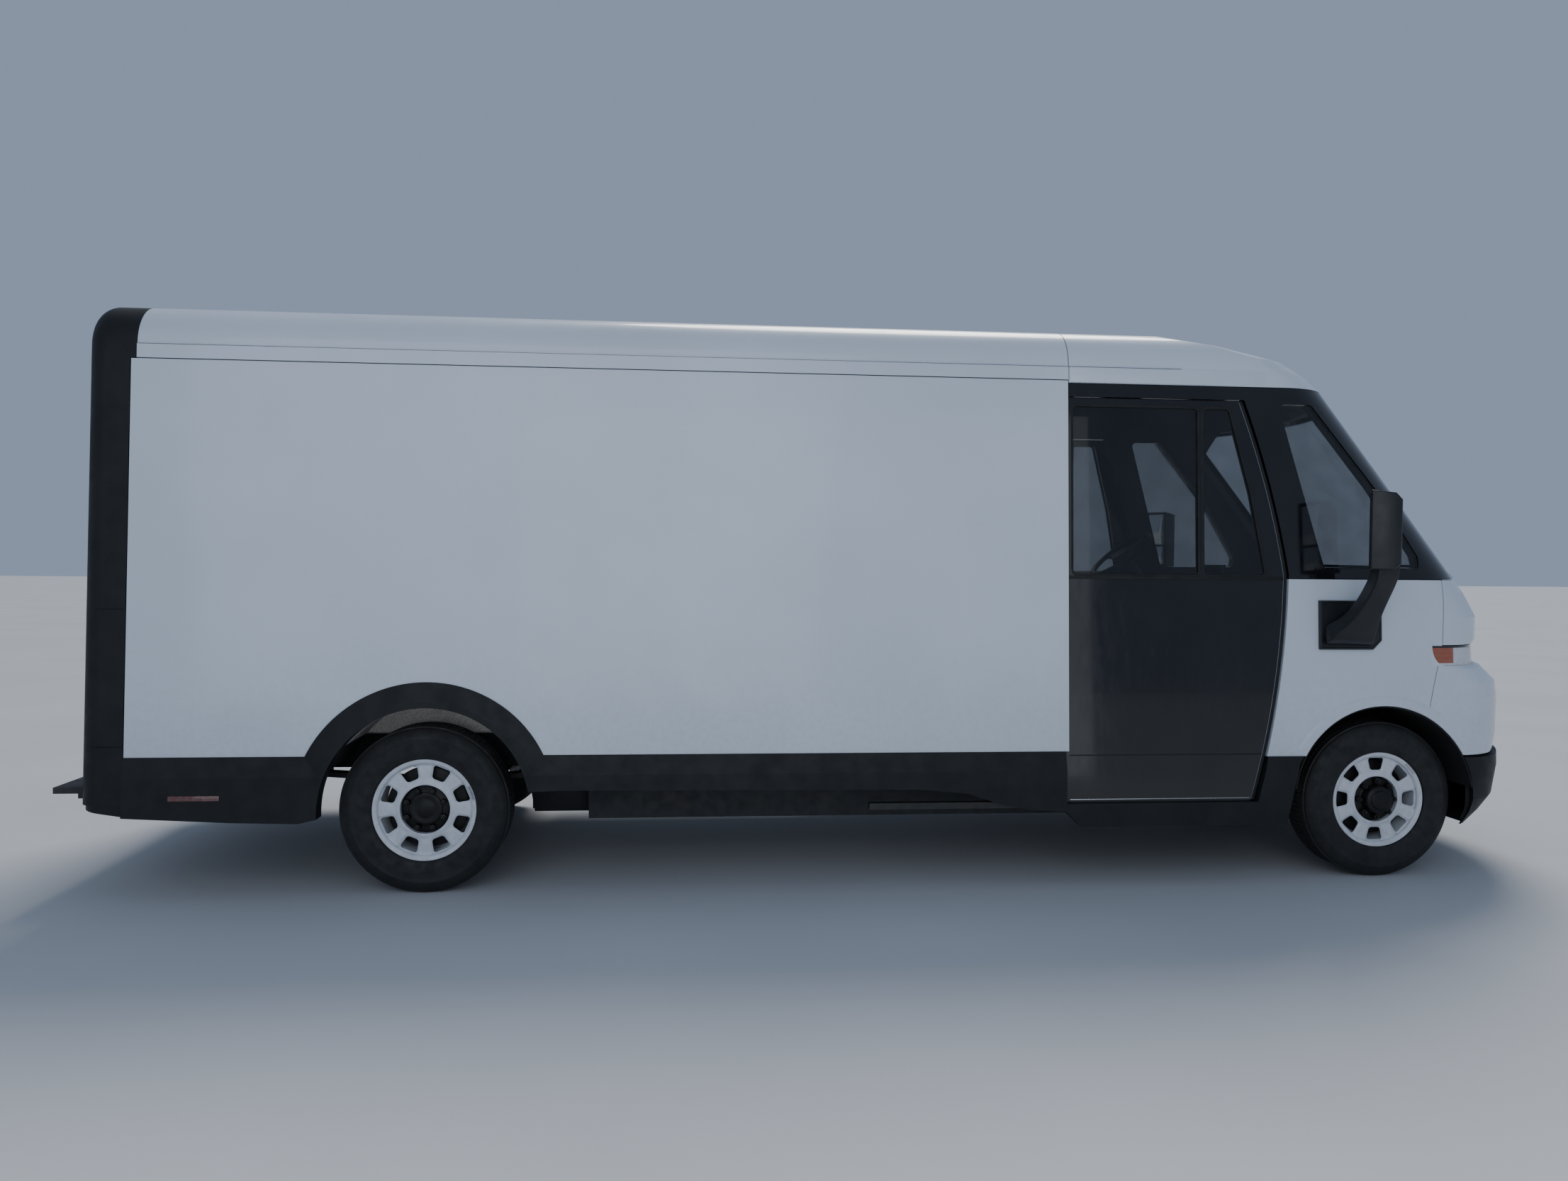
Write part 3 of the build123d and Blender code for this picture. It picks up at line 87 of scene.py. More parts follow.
@dataclass(frozen=True)
class Layout:
    """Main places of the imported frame, read from its tyres."""

    front_axle: float
    rear_axle: float
    wheel_y: float
    tyre_r: float
    half_width: float = 1.030
    lean: float = 0.0534
    sill_z: float = 0.652

    @classmethod
    def from_frame(cls) -> "Layout":
        """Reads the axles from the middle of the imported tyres."""
        low_f, high_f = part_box("tyre_front_right")
        low_r, high_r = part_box("tyre_rear_right")
        middle_f = (low_f + high_f) / 2
        middle_r = (low_r + high_r) / 2
        return cls(middle_f.x, middle_r.x, -middle_f.y, (high_f.x - low_f.x) / 2)

    def wall_y(self, z: float) -> float:
        """Half width of the leaning side wall at height z."""
        return self.half_width - self.lean * (z - self.sill_z)

    def lean_with_wall(self, piece: Piece, side: Side, middle: float) -> None:
        """Leans an upright piece like the side wall, about a middle height."""
        for vertex in piece.data.vertices:
            vertex.co.y -= side.value * self.lean * (vertex.co.z - middle)


# Modelling helpers


def only(piece: Piece) -> Piece:
    """Makes one piece the whole selection and the active object."""
    if bpy.context.mode != "OBJECT":
        bpy.ops.object.mode_set(mode="OBJECT")
    bpy.ops.object.select_all(action="DESELECT")
    piece.select_set(True)
    bpy.context.view_layer.objects.active = piece
    return piece


def add(operator: Callable, name: str, **settings: object) -> Piece:
    """Runs an operator that adds an object, and names what it added."""
    bpy.ops.object.select_all(action="DESELECT")
    operator(**settings)
    piece = bpy.context.active_object
    piece.name = name
    return piece


def set_place(piece: Piece) -> Piece:
    """Puts a piece's place, turn and scale into its mesh."""
    only(piece)
    bpy.ops.object.transform_apply(location=True, rotation=True, scale=True)
    return piece


def start_block(name: str, first: Iterable[float], last: Iterable[float]) -> Piece:
    """Adds a cube between two opposite corners, with its place in its mesh."""
    spans = [sorted(pair) for pair in zip(first, last)]
    low, high = (Vector(corner) for corner in zip(*spans))
    return set_place(add(bpy.ops.mesh.primitive_cube_add, name, size=1,
                         location=(low + high) / 2, scale=tuple(high - low)))


def start_rod(name: str, radius: float, depth: float, centre: Vector, axis: Vector,
              sides: int) -> Piece:
    """Adds a cylinder about an axis, with its place in its mesh."""
    turn = axis.to_track_quat("Z", "Y").to_euler()
    return set_place(add(bpy.ops.mesh.primitive_cylinder_add, name, vertices=sides,
                         radius=radius, depth=depth, location=centre, rotation=turn))


def clear_picks(piece: Piece, mode: str) -> None:
    """Deselects all of a piece's mesh in one select mode."""
    only(piece)
    bpy.ops.object.mode_set(mode="EDIT")
    bpy.ops.mesh.select_mode(type=mode)
    bpy.ops.mesh.select_all(action="DESELECT")
    bpy.ops.object.mode_set(mode="OBJECT")


def pick_faces(piece: Piece, test: FaceTest) -> None:
    """Selects the faces that pass a test and goes into edit mode on them."""
    clear_picks(piece, "FACE")
    for face in piece.data.polygons:
        face.select = test(face)
    bpy.ops.object.mode_set(mode="EDIT")


def pick_edges(piece: Piece, test: EdgeTest) -> None:
    """Selects the edges whose two ends pass a test and goes into edit mode on them."""
    clear_picks(piece, "EDGE")
    for edge in piece.data.edges:
        first, last = (piece.data.vertices[k].co for k in edge.vertices)
        edge.select = test(first, last)
    bpy.ops.object.mode_set(mode="EDIT")


def edit_all(piece: Piece) -> None:
    """Goes into edit mode with the piece's whole mesh selected."""
    only(piece)
    bpy.ops.object.mode_set(mode="EDIT")
    bpy.ops.mesh.select_all(action="SELECT")


def leave_edit(piece: Piece) -> Piece:
    """Goes back to object mode."""
    bpy.ops.object.mode_set(mode="OBJECT")
    return piece


def facing(way: Vector) -> FaceTest:
    """A test that passes the faces turned towards a direction."""
    return lambda face: face.normal.dot(way) > FACING_SHARE


def extrude(piece: Piece, test: FaceTest, move: Iterable[float] = (0, 0, 0)) -> Piece:
    """Extrudes the faces that pass a test and leaves the new ones selected."""
    pick_faces(piece, test)
    bpy.ops.mesh.extrude_region_move(TRANSFORM_OT_translate={"value": move})
    return leave_edit(piece)


def recess(piece: Piece, test: FaceTest, border: float, move: Iterable[float]) -> Piece:
    """Insets the faces that pass a test and extrudes what is inside the border."""
    pick_faces(piece, test)
    bpy.ops.mesh.inset(thickness=border)
    bpy.ops.mesh.extrude_region_move(TRANSFORM_OT_translate={"value": move})
    return leave_edit(piece)


def bevel_picked(piece: Piece, test: EdgeTest, offset: float, segments: int) -> Piece:
    """Bevels the edges whose two ends pass a test."""
    pick_edges(piece, test)
    bpy.ops.mesh.bevel(offset=offset, segments=segments, affect="EDGES")
    return leave_edit(piece)


def tidy_shell(piece: Piece) -> Piece:
    """Merges doubles and turns every face outwards."""
    edit_all(piece)
    bpy.ops.mesh.remove_doubles(threshold=0.00002)
    bpy.ops.mesh.normals_make_consistent(inside=False)
    return leave_edit(piece)


def apply(piece: Piece, kind: str, **settings: object) -> Piece:
    """Adds a modifier, sets it and applies it."""
    only(piece)
    modifier = piece.modifiers.new(kind.lower(), kind)
    for key, value in settings.items():
        setattr(modifier, key, value)
    bpy.ops.object.modifier_apply(modifier=modifier.name)
    return piece


def round_edges(piece: Piece, width: float, segments: int, angle: float) -> Piece:
    """Bevels the edges sharper than an angle."""
    return apply(piece, "BEVEL", width=width, segments=segments, limit_method="ANGLE",
                 angle_limit=math.radians(angle))


def soften(piece: Piece, levels: int) -> Piece:
    """Subdivides a piece smoothly."""
    return apply(piece, "SUBSURF", levels=levels, render_levels=levels)


def even_shading(piece: Piece) -> Piece:
    """Weights the shading by face size, which keeps flat faces flat beside rounded edges."""
    return apply(piece, "WEIGHTED_NORMAL", keep_sharp=True)


def smooth(piece: Piece, angle: float = 35) -> Piece:
    """Shades smooth, with edges sharper than an angle kept crisp."""
    only(piece)
    bpy.ops.object.shade_smooth_by_angle(angle=math.radians(angle))
    return piece


def eased(piece: Piece, width: float, segments: int = 2, angle: float = 40) -> Piece:
    """Rounds the edges sharper than an angle and shades the piece smooth."""
    return smooth(round_edges(piece, width, segments, angle))


def cut(piece: Piece, tool: Piece) -> Piece:
    """Cuts a tool's shape out of a piece and removes the tool."""
    apply(piece, "BOOLEAN", operation="DIFFERENCE", solver="EXACT", object=tool)
    bpy.data.objects.remove(tool)
    return piece


def join(pieces: list[Piece], name: str) -> Piece:
    """Joins pieces into one mesh."""
    only(pieces[0])
    for piece in pieces[1:]:
        piece.select_set(True)
    bpy.ops.object.join()
    joined = bpy.context.active_object
    joined.name = name
    return joined


def copy_of(piece: Piece, name: str, matrix: Matrix) -> Piece:
    """Copies a piece with its own mesh, moved by a matrix."""
    twin = piece.copy()
    twin.data = piece.data.copy()
    twin.name = name
    twin.data.transform(matrix)
    bpy.context.collection.objects.link(twin)
    return twin


def twin_of(node: str, name: str) -> Piece:
    """A piece with a CAD node's own shape, free of the node's tags."""
    twin = copy_of(frame["nodes"][node], name, Matrix.Identity(4))
    twin.parent = None
    for key in list(twin.keys()):
        del twin[key]
    only(twin)
    if twin.data.has_custom_normals:
        bpy.ops.mesh.customdata_custom_splitnormals_clear()
    return tidy_shell(twin)


def ring_of(piece: Piece, count: int, name: str) -> Piece:
    """Repeats a piece round the Y axis and joins the copies."""
    copies = [piece]
    for k in range(1, count):
        turn = Matrix.Rotation(2 * math.pi * k / count, 4, "Y")
        copies.append(copy_of(piece, f"{name}_{k}", turn))
    return join(copies, name)


def spun(name: str, outline: Outline, steps: int, turn: float, fill: str = "NGON") -> Piece:
    """Spins an outline about the Y axis, its outer face towards -Y.

    Args:
        name: The new piece's name.
        outline: Points of (radius, distance outwards), all round the section.
        steps: How many steps the turn takes.
        turn: The turn in degrees.
        fill: How the section is filled: as a face for a part turn, or not at all.

    Returns:
        The new piece, with doubles where its ends meet.
    """
    piece = add(bpy.ops.mesh.primitive_circle_add, name, vertices=len(outline), radius=1,
                fill_type=fill)
    for vertex, (radius, out) in zip(piece.data.vertices, outline):
        vertex.co = (radius, -out, 0)
    edit_all(piece)
    bpy.ops.mesh.spin(steps=steps, angle=math.radians(turn), center=(0, 0, 0),
                      axis=(0, 1, 0))
    return leave_edit(piece)


def lathe(name: str, outline: Outline, steps: int) -> Piece:
    """Spins a closed outline all the way round into a closed ring."""
    return tidy_shell(spun(name, outline, steps, 360, "NOTHING"))


def strip(name: str, points: list[Vector], halves: Point | Outline, up: Vector) -> Piece:
    """A bar along a line of points, started from its end face and extruded.

    Args:
        name: The new piece's name.
        points: The line that the bar's middle follows.
        halves: Half its width, square to both the line and up, and half its thickness
            along up, for the whole bar or for each point.
        up: The direction its thickness faces.

    Returns:
        The closed bar.
    """
    sizes = halves if isinstance(halves, list) else [halves] * len(points)
    corners = ((-1, -1), (1, -1), (1, 1), (-1, 1))

    def ring(k: int) -> list[Vector]:
        """The four corners of the bar's section at its point k."""
        before = points[max(k - 1, 0)]
        after = points[min(k + 1, len(points) - 1)]
        along = (after - before).normalized()
        across = along.cross(up).normalized()
        lift = across.cross(along).normalized()
        wide, thick = sizes[k]
        return [points[k] + a * wide * across + b * thick * lift for a, b in corners]

    rings = [ring(k) for k in range(len(points))]
    piece = add(bpy.ops.mesh.primitive_plane_add, name, size=2)
    for vertex, corner in zip(piece.data.vertices, (0, 1, 3, 2)):
        vertex.co = rings[0][corner]
    for here, there in zip(rings, rings[1:]):
        last = len(piece.data.vertices) - len(corners)
        extrude(piece, lambda face: min(face.vertices) >= last)
        for vertex in piece.data.vertices:
            if vertex.select:
                nearest = min(range(4), key=lambda c: (here[c] - vertex.co).length)
                vertex.co = there[nearest]
    return tidy_shell(piece)


def rounded(points: Outline, radius: float, steps: int = 5) -> Outline:
    """Rounds the corners of a closed outline.

    Args:
        points: The outline's corners, in order.
        radius: The radius at each corner.
        steps: How many steps each corner's arc takes.

    Returns:
        The outline with arcs in place of its corners.
    """
    line: Outline = []
    for k, corner in enumerate(points):
        here = Vector(corner)
        before = (Vector(points[k - 1]) - here).normalized()
        after = (Vector(points[(k + 1) % len(points)]) - here).normalized()
        half = before.angle(after) / 2
        reach = radius / math.tan(half)
        middle = here + (before + after).normalized() * radius / math.sin(half)
        first = here + before * reach - middle
        turn = first.angle_signed(here + after * reach - middle)
        for step in range(steps + 1):
            angle = -turn * step / steps
            c, s = math.cos(angle), math.sin(angle)
            line.append((middle.x + c * first.x - s * first.y,
                         middle.y + s * first.x + c * first.y))
    return line


def circle_through(a: Point, b: Point, c: Point) -> tuple[Point, float]:
    """Centre and radius of the circle through three points."""
    ax, ay, bx, by, cx, cy = *a, *b, *c
    d = 2 * (ax * (by - cy) + bx * (cy - ay) + cx * (ay - by))
    ux = ((ax**2 + ay**2) * (by - cy) + (bx**2 + by**2) * (cy - ay)
          + (cx**2 + cy**2) * (ay - by)) / d
    uy = ((ax**2 + ay**2) * (cx - bx) + (bx**2 + by**2) * (ax - cx)
          + (cx**2 + cy**2) * (bx - ax)) / d
    return (ux, uy), math.hypot(ax - ux, ay - uy)


# Finishes


class Sheet:
    """One material's node sheet, with short calls to add and link nodes."""

    def __init__(self, name: str) -> None:
        """Starts a material with a bare principled shader."""
        self.material = bpy.data.materials.new(name)
        self.material.use_nodes = True
        self.tree = self.material.node_tree
        self.shader = self.tree.nodes["Principled BSDF"]
        self.place = self.node("ShaderNodeTexCoord").outputs["Object"]

    def node(self, kind: str, **settings: object) -> bpy.types.Node:
        """Adds a node. Lower-case names set attributes, others set input sockets."""
        node = self.tree.nodes.new(kind)
        for key, value in settings.items():
            if key[0].islower():
                setattr(node, key, value)
            else:
                node.inputs[key.replace("_", " ")].default_value = value
        return node

    def link(self, source: Socket, target: Socket) -> None:
        """Links two sockets."""
        self.tree.links.new(source, target)

    def feed(self, source: Socket, socket: str) -> None:
        """Links a value into one of the shader's own sockets."""
        self.link(source, self.shader.inputs[socket])

    def noise(self, scale: float, detail: float, stretch: Iterable[float] = EVEN) -> Socket:
        """Noise over the object's own coordinates, stretched along its axes."""
        mapping = self.node("ShaderNodeMapping", Scale=tuple(stretch))
        self.link(self.place, mapping.inputs["Vector"])
        noise = self.node("ShaderNodeTexNoise", Scale=scale, Detail=detail)
        self.link(mapping.outputs[0], noise.inputs["Vector"])
        return noise.outputs["Fac"]

    def span(self, source: Socket, low: float, high: float, to_low: float, to_high: float
             ) -> Socket:
        """Maps a value from one range to another, clamped."""
        node = self.node("ShaderNodeMapRange", From_Min=low, From_Max=high, To_Min=to_low,
                         To_Max=to_high)
        self.link(source, node.inputs["Value"])
        return node.outputs["Result"]

    def mottle(self, scale: float, detail: float, low: float, high: float, to_low: float,
               to_high: float, stretch: Iterable[float] = EVEN) -> Socket:
        """Noise of a scale and detail, mapped from one range to another."""
        return self.span(self.noise(scale, detail, stretch), low, high, to_low, to_high)

    def rough(self, scale: float, detail: float, least: float, most: float,
              low: float = 0.3, high: float = 0.7, stretch: Iterable[float] = EVEN) -> None:
        """Feeds a roughness that wanders between two values into the shader."""
        self.feed(self.mottle(scale, detail, low, high, least, most, stretch), "Roughness")

    def math(self, operation: str, first: Socket, second: Socket | float = 0.0) -> Socket:
        """One math node over two values."""
        node = self.node("ShaderNodeMath", operation=operation)
        self.link(first, node.inputs[0])
        if isinstance(second, (int, float)):
            node.inputs[1].default_value = second
        else:
            self.link(second, node.inputs[1])
        return node.outputs[0]

    def axis(self, name: str) -> Socket:
        """One coordinate, X, Y or Z, of the object's own coordinates."""
        split = self.node("ShaderNodeSeparateXYZ")
        self.link(self.place, split.inputs[0])
        return split.outputs[name]

    def wave(self, source: Socket, pitch: float) -> Socket:
        """A sine over a value times a pitch."""
        return self.math("SINE", self.math("MULTIPLY", source, pitch))

    def mix(self, factor: Socket, below: Socket | Colour, above: Colour) -> Socket:
        """Lays a colour over another one, plain or linked, by a factor."""
        node = self.node("ShaderNodeMix", data_type="RGBA")
        if isinstance(below, tuple):
            node.inputs["A"].default_value = (*below, 1)
        else:
            self.link(below, node.inputs["A"])
        node.inputs["B"].default_value = (*above, 1)
        self.link(factor, node.inputs["Factor"])
        return node.outputs["Result"]

    def bump(self, height: Socket, strength: float, distance: float) -> None:
        """Feeds a bump into the shader's normal."""
        node = self.node("ShaderNodeBump", Strength=strength, Distance=distance)
        self.link(height, node.inputs["Height"])
        self.feed(node.outputs[0], "Normal")

    def set(self, **values: float) -> None:
        """Sets the shader's own sockets, with underscores for spaces."""
        for key, value in values.items():
            self.shader.inputs[key.replace("_", " ")].default_value = value


def shaded(colour: Colour, share: float, lift: float = 0.0) -> Colour:
    """A colour made darker or lighter by a share, and lifted."""
    return tuple(min(1.0, c * share + lift) for c in colour)


@dataclass(frozen=True)
class Finish:
    """A named look, laid out on its own node sheet."""

    name: str
    colour: Colour

    def build(self) -> bpy.types.Material:
        """Makes the material."""
        sheet = Sheet(self.name)
        self.lay_out(sheet)
        return sheet.material

    def lay_out(self, sheet: Sheet) -> None:
        """Adds the look's own nodes."""
        raise NotImplementedError


@dataclass(frozen=True)
class Paint(Finish):
    """Sprayed paint: clear coat, faint orange peel and road dust low down."""

    dust: Colour
    roughness: float = 0.32
    coat: float = 0.5
    peel: float = 0.04
    dust_low: float = 0.45
    dust_high: float = 1.3
    dust_share: float = 0.22

    def lay_out(self, sheet: Sheet) -> None:
        """Adds the look's own nodes."""
        tone = sheet.mottle(1.4, 4, 0.35, 0.65, 0, 1)
        base = sheet.mix(tone, self.colour, shaded(self.colour, 0.94))
        height = sheet.span(sheet.axis("Z"), self.dust_low, self.dust_high, self.dust_share, 0)
        speck = sheet.mottle(38, 6, 0.35, 0.7, 0.3, 1)
        dusty = sheet.mix(sheet.math("MULTIPLY", height, speck), base, self.dust)
        sheet.feed(dusty, "Base Color")
        sheet.rough(6, 4, self.roughness - 0.04, self.roughness + 0.08)
        sheet.set(Coat_Weight=self.coat, Coat_Roughness=0.08)
        sheet.bump(sheet.noise(260, 1), self.peel, 0.0008)


@dataclass(frozen=True)
class Grained(Finish):
    """Moulded plastic or rubber with a fine grain and a dusty bloom."""

    dust: Colour
    roughness: float = 0.55
    grain: float = 900
    relief: float = 0.35
    bloom: float = 0.25
    sheen: float = 0.5

    def lay_out(self, sheet: Sheet) -> None:
        """Adds the look's own nodes."""
        patch = sheet.mottle(5, 6, 0.42, 0.75, 0, self.bloom)
        sheet.feed(sheet.mix(patch, self.colour, self.dust), "Base Color")
        sheet.rough(14, 4, self.roughness - 0.07, self.roughness + 0.09)
        sheet.set(Specular_IOR_Level=self.sheen)
        sheet.bump(sheet.noise(self.grain, 2), self.relief, 0.0006)


@dataclass(frozen=True)
class Gloss(Finish):
    """High-gloss black with a wet coat and faint swirls."""

    roughness: float = 0.06
    swirl: Colour = (1, 1, 0.3)

    def lay_out(self, sheet: Sheet) -> None:
        """Adds the look's own nodes."""
        tone = sheet.mottle(3, 4, 0.3, 0.7, 0, 1)
        sheet.feed(sheet.mix(tone, self.colour, shaded(self.colour, 1.6, 0.002)), "Base Color")
        sheet.rough(30, 6, self.roughness, self.roughness + 0.09, 0.4, 0.75, self.swirl)
        sheet.set(Coat_Weight=0.2, Coat_Roughness=0.03)
        sheet.bump(sheet.noise(4, 1), 0.05, 0.002)


@dataclass(frozen=True)
class Glass(Finish):
    """A pane seen through by its alpha, with faint dust and, if wanted, a black border."""

    alpha: float
    roughness: float = 0.02
    has_border: bool = False
    border_foot: Point = (1.535, 1.545)
    border_head: Point = (2.355, 2.365)
    border_side: Point = (0.752, 0.757)
    border: Colour = (0.004, 0.004, 0.005)

    def lay_out(self, sheet: Sheet) -> None:
        """Adds the look's own nodes."""
        haze = sheet.mottle(7, 5, 0.35, 0.8, self.alpha, self.alpha + 0.08)
        tint = sheet.mottle(2, 2, 0.3, 0.7, 0, 1)
        base = sheet.mix(tint, self.colour, shaded(self.colour, 1.3, 0.004))
        if self.has_border:
            height, across = sheet.axis("Z"), sheet.axis("Y")
            foot = sheet.span(height, *self.border_foot, 1, 0)
            head = sheet.span(height, *self.border_head, 0, 1)
            sides = sheet.span(sheet.math("ABSOLUTE", across), *self.border_side, 0, 1)
            band = sheet.math("MAXIMUM", sheet.math("MAXIMUM", foot, head), sides)
            base = sheet.mix(band, base, self.border)
            haze = sheet.math("MAXIMUM", haze, band)
        sheet.feed(base, "Base Color")
        sheet.feed(haze, "Alpha")
        sheet.rough(11, 5, self.roughness, self.roughness + 0.05, 0.4, 0.8)
        sheet.set(IOR=1.5, Coat_Weight=0.6, Coat_Roughness=0.02)
        sheet.bump(sheet.noise(2.2, 1), 0.03, 0.002)


@dataclass(frozen=True)
class Lamp(Finish):
    """A lamp's ribbed cover, of one colour or with another behind a place along X.

    Where end_x is given, the lamp's rear end is rounded: its lower corner takes the paint
    of the panel round it, a dark line runs along its top and a clear strip along its foot.
    """

    rear_colour: Colour
    change_x: float = 0
    alpha: float = 0.55
    ribs: float = 260
    end_x: float | None = None
    end_long: float = 0.070
    low_z: float = 1.060
    high_z: float = 1.160
    line_tall: float = 0.010
    foot_strip: Point = (0.012, 0.016)
    line: Colour = (0.006, 0.006, 0.007)
    # The panel colour is the white paint's darkened blue-grey: painted open shade.
    paint: Colour = (0.62, 0.68, 0.76)

    def lay_out(self, sheet: Sheet) -> None:
        """Adds the look's own nodes."""
        place = sheet.span(sheet.axis("X"), self.change_x - 0.002, self.change_x + 0.002, 0, 1)
        if self.end_x is not None:
            low, high = (self.low_z + z for z in self.foot_strip)
            place = sheet.math("MAXIMUM", place, sheet.span(sheet.axis("Z"), low, high, 1, 0))
        base = sheet.mix(place, self.rear_colour, self.colour)
        base = sheet.mix(sheet.mottle(60, 3, 0.3, 0.7, 0, 0.25), base, (0.2, 0.2, 0.2))
        alpha = sheet.span(place, 0, 1, min(1.0, self.alpha + 0.3), self.alpha)
        if self.end_x is not None:
            along = sheet.span(sheet.axis("X"), self.end_x, self.end_x + self.end_long, 1, 0)
            down = sheet.span(sheet.axis("Z"), self.low_z, self.high_z, 1, 0)
            away = sheet.math("ADD", sheet.math("MULTIPLY", along, along),
                              sheet.math("MULTIPLY", down, down))
            corner = sheet.math("GREATER_THAN", away, 1.0)
            line = sheet.math("GREATER_THAN", sheet.axis("Z"), self.high_z - self.line_tall)
            base = sheet.mix(corner, sheet.mix(line, base, self.line), self.paint)
            alpha = sheet.math("MAXIMUM", alpha, sheet.math("MAXIMUM", corner, line))
        sheet.feed(base, "Base Color")
        sheet.feed(alpha, "Alpha")
        sheet.set(Roughness=0.05, Coat_Weight=0.8, Coat_Roughness=0.02)
        sheet.bump(sheet.wave(sheet.axis("Z"), self.ribs), 0.25, 0.002)


@dataclass(frozen=True)
class Metal(Finish):
    """Cast, rolled or painted metal with scuffs and settled dirt."""

    dirt: Colour
    metallic: float = 0.9
    roughness: float = 0.4
    scuff: float = 24
    relief: float = 0.25
    dirt_share: float = 0.4

    def lay_out(self, sheet: Sheet) -> None:
        """Adds the look's own nodes."""
        stain = sheet.mottle(9, 7, 0.45, 0.75, 0, self.dirt_share)
        sheet.feed(sheet.mix(stain, self.colour, self.dirt), "Base Color")
        sheet.rough(self.scuff, 6, self.roughness - 0.08, self.roughness + 0.14)
        sheet.set(Metallic=self.metallic)
        sheet.bump(sheet.noise(self.scuff * 12, 3), self.relief, 0.0008)


@dataclass(frozen=True)
class Tread(Finish):
    """Tyre rubber with road dust in patches and a fine grain over a coarser one."""

    dust: Colour

    def lay_out(self, sheet: Sheet) -> None:
        """Adds the look's own nodes."""
        patch = sheet.mottle(7, 7, 0.38, 0.72, 0.03, 0.45)
        sheet.feed(sheet.mix(patch, self.colour, self.dust), "Base Color")
        sheet.rough(25, 5, 0.62, 0.85)
        coarse = sheet.math("MULTIPLY", sheet.noise(40, 3), 2)
        sheet.bump(sheet.math("ADD", sheet.noise(420, 3), coarse), 0.3, 0.0008)


@dataclass(frozen=True)
class Weave(Finish):
    """Woven seat cloth from two crossed sets of threads."""

    thread: Colour
    pitch: float = 1500

    def lay_out(self, sheet: Sheet) -> None:
        """Adds the look's own nodes."""
        slant = sheet.math("ADD", sheet.axis("X"), sheet.axis("Z"))
        along, across = (sheet.wave(way, self.pitch) for way in (slant, sheet.axis("Y")))
        threads = sheet.math("MULTIPLY", along, across)
        tone = sheet.span(threads, -1, 1, 0, 0.7)
        sheet.feed(sheet.mix(tone, self.colour, self.thread), "Base Color")
        sheet.rough(30, 3, 0.78, 0.95)
        sheet.set(Sheen_Weight=0.35, Sheen_Roughness=0.5)
        sheet.bump(threads, 0.35, 0.0006)


@dataclass(frozen=True)
class Felt(Finish):
    """Pressed-fibre arch liner, black in front; its pale colour above the rear tyre is partly
    the felt's own and partly painted light, and its black low down is painted shade.
    """

    dark: Colour
    change_x: float = 0.5
    low_z: float = 0.690

    def lay_out(self, sheet: Sheet) -> None:
        """Adds the look's own nodes."""
        fibre = sheet.mottle(120, 6, 0.3, 0.7, 0, 1)
        # The felt's colour is its own grey-brown brightened by painted light.
        base = sheet.mix(fibre, shaded(self.colour, 0.6), self.colour)
        is_front = sheet.span(sheet.axis("X"), self.change_x, self.change_x + 0.01, 0, 1)
        # Painted shade: the liner goes black below low_z, where it lies in shade.
        painted_shade_low = sheet.span(sheet.axis("Z"), self.low_z, self.low_z + 0.012, 1, 0)
        stain = sheet.mottle(4, 5, 0.5, 0.8, 0, 0.3)
        for share in (is_front, painted_shade_low, stain):
            base = sheet.mix(share, base, self.dark)
        sheet.feed(base, "Base Color")
        sheet.rough(50, 4, 0.8, 0.95)
        sheet.bump(sheet.noise(700, 4), 0.6, 0.0008)


@dataclass(frozen=True)
class Ribbed(Finish):
    """Rubber or board with raised ribs along one axis."""

    dust: Colour
    axis: str = "Y"
    pitch: float = 0.03
    relief: float = 0.5
    roughness: float = 0.7

    def lay_out(self, sheet: Sheet) -> None:
        """Adds the look's own nodes."""
        patch = sheet.mottle(6, 6, 0.35, 0.75, 0, 0.4)
        sheet.feed(sheet.mix(patch, self.colour, self.dust), "Base Color")
        sheet.rough(18, 4, self.roughness - 0.1, self.roughness + 0.1)
        wave = sheet.wave(sheet.axis(self.axis), 2 * math.pi / self.pitch)
        sheet.bump(sheet.span(wave, -0.2, 0.5, 0, 1), self.relief, 0.002)


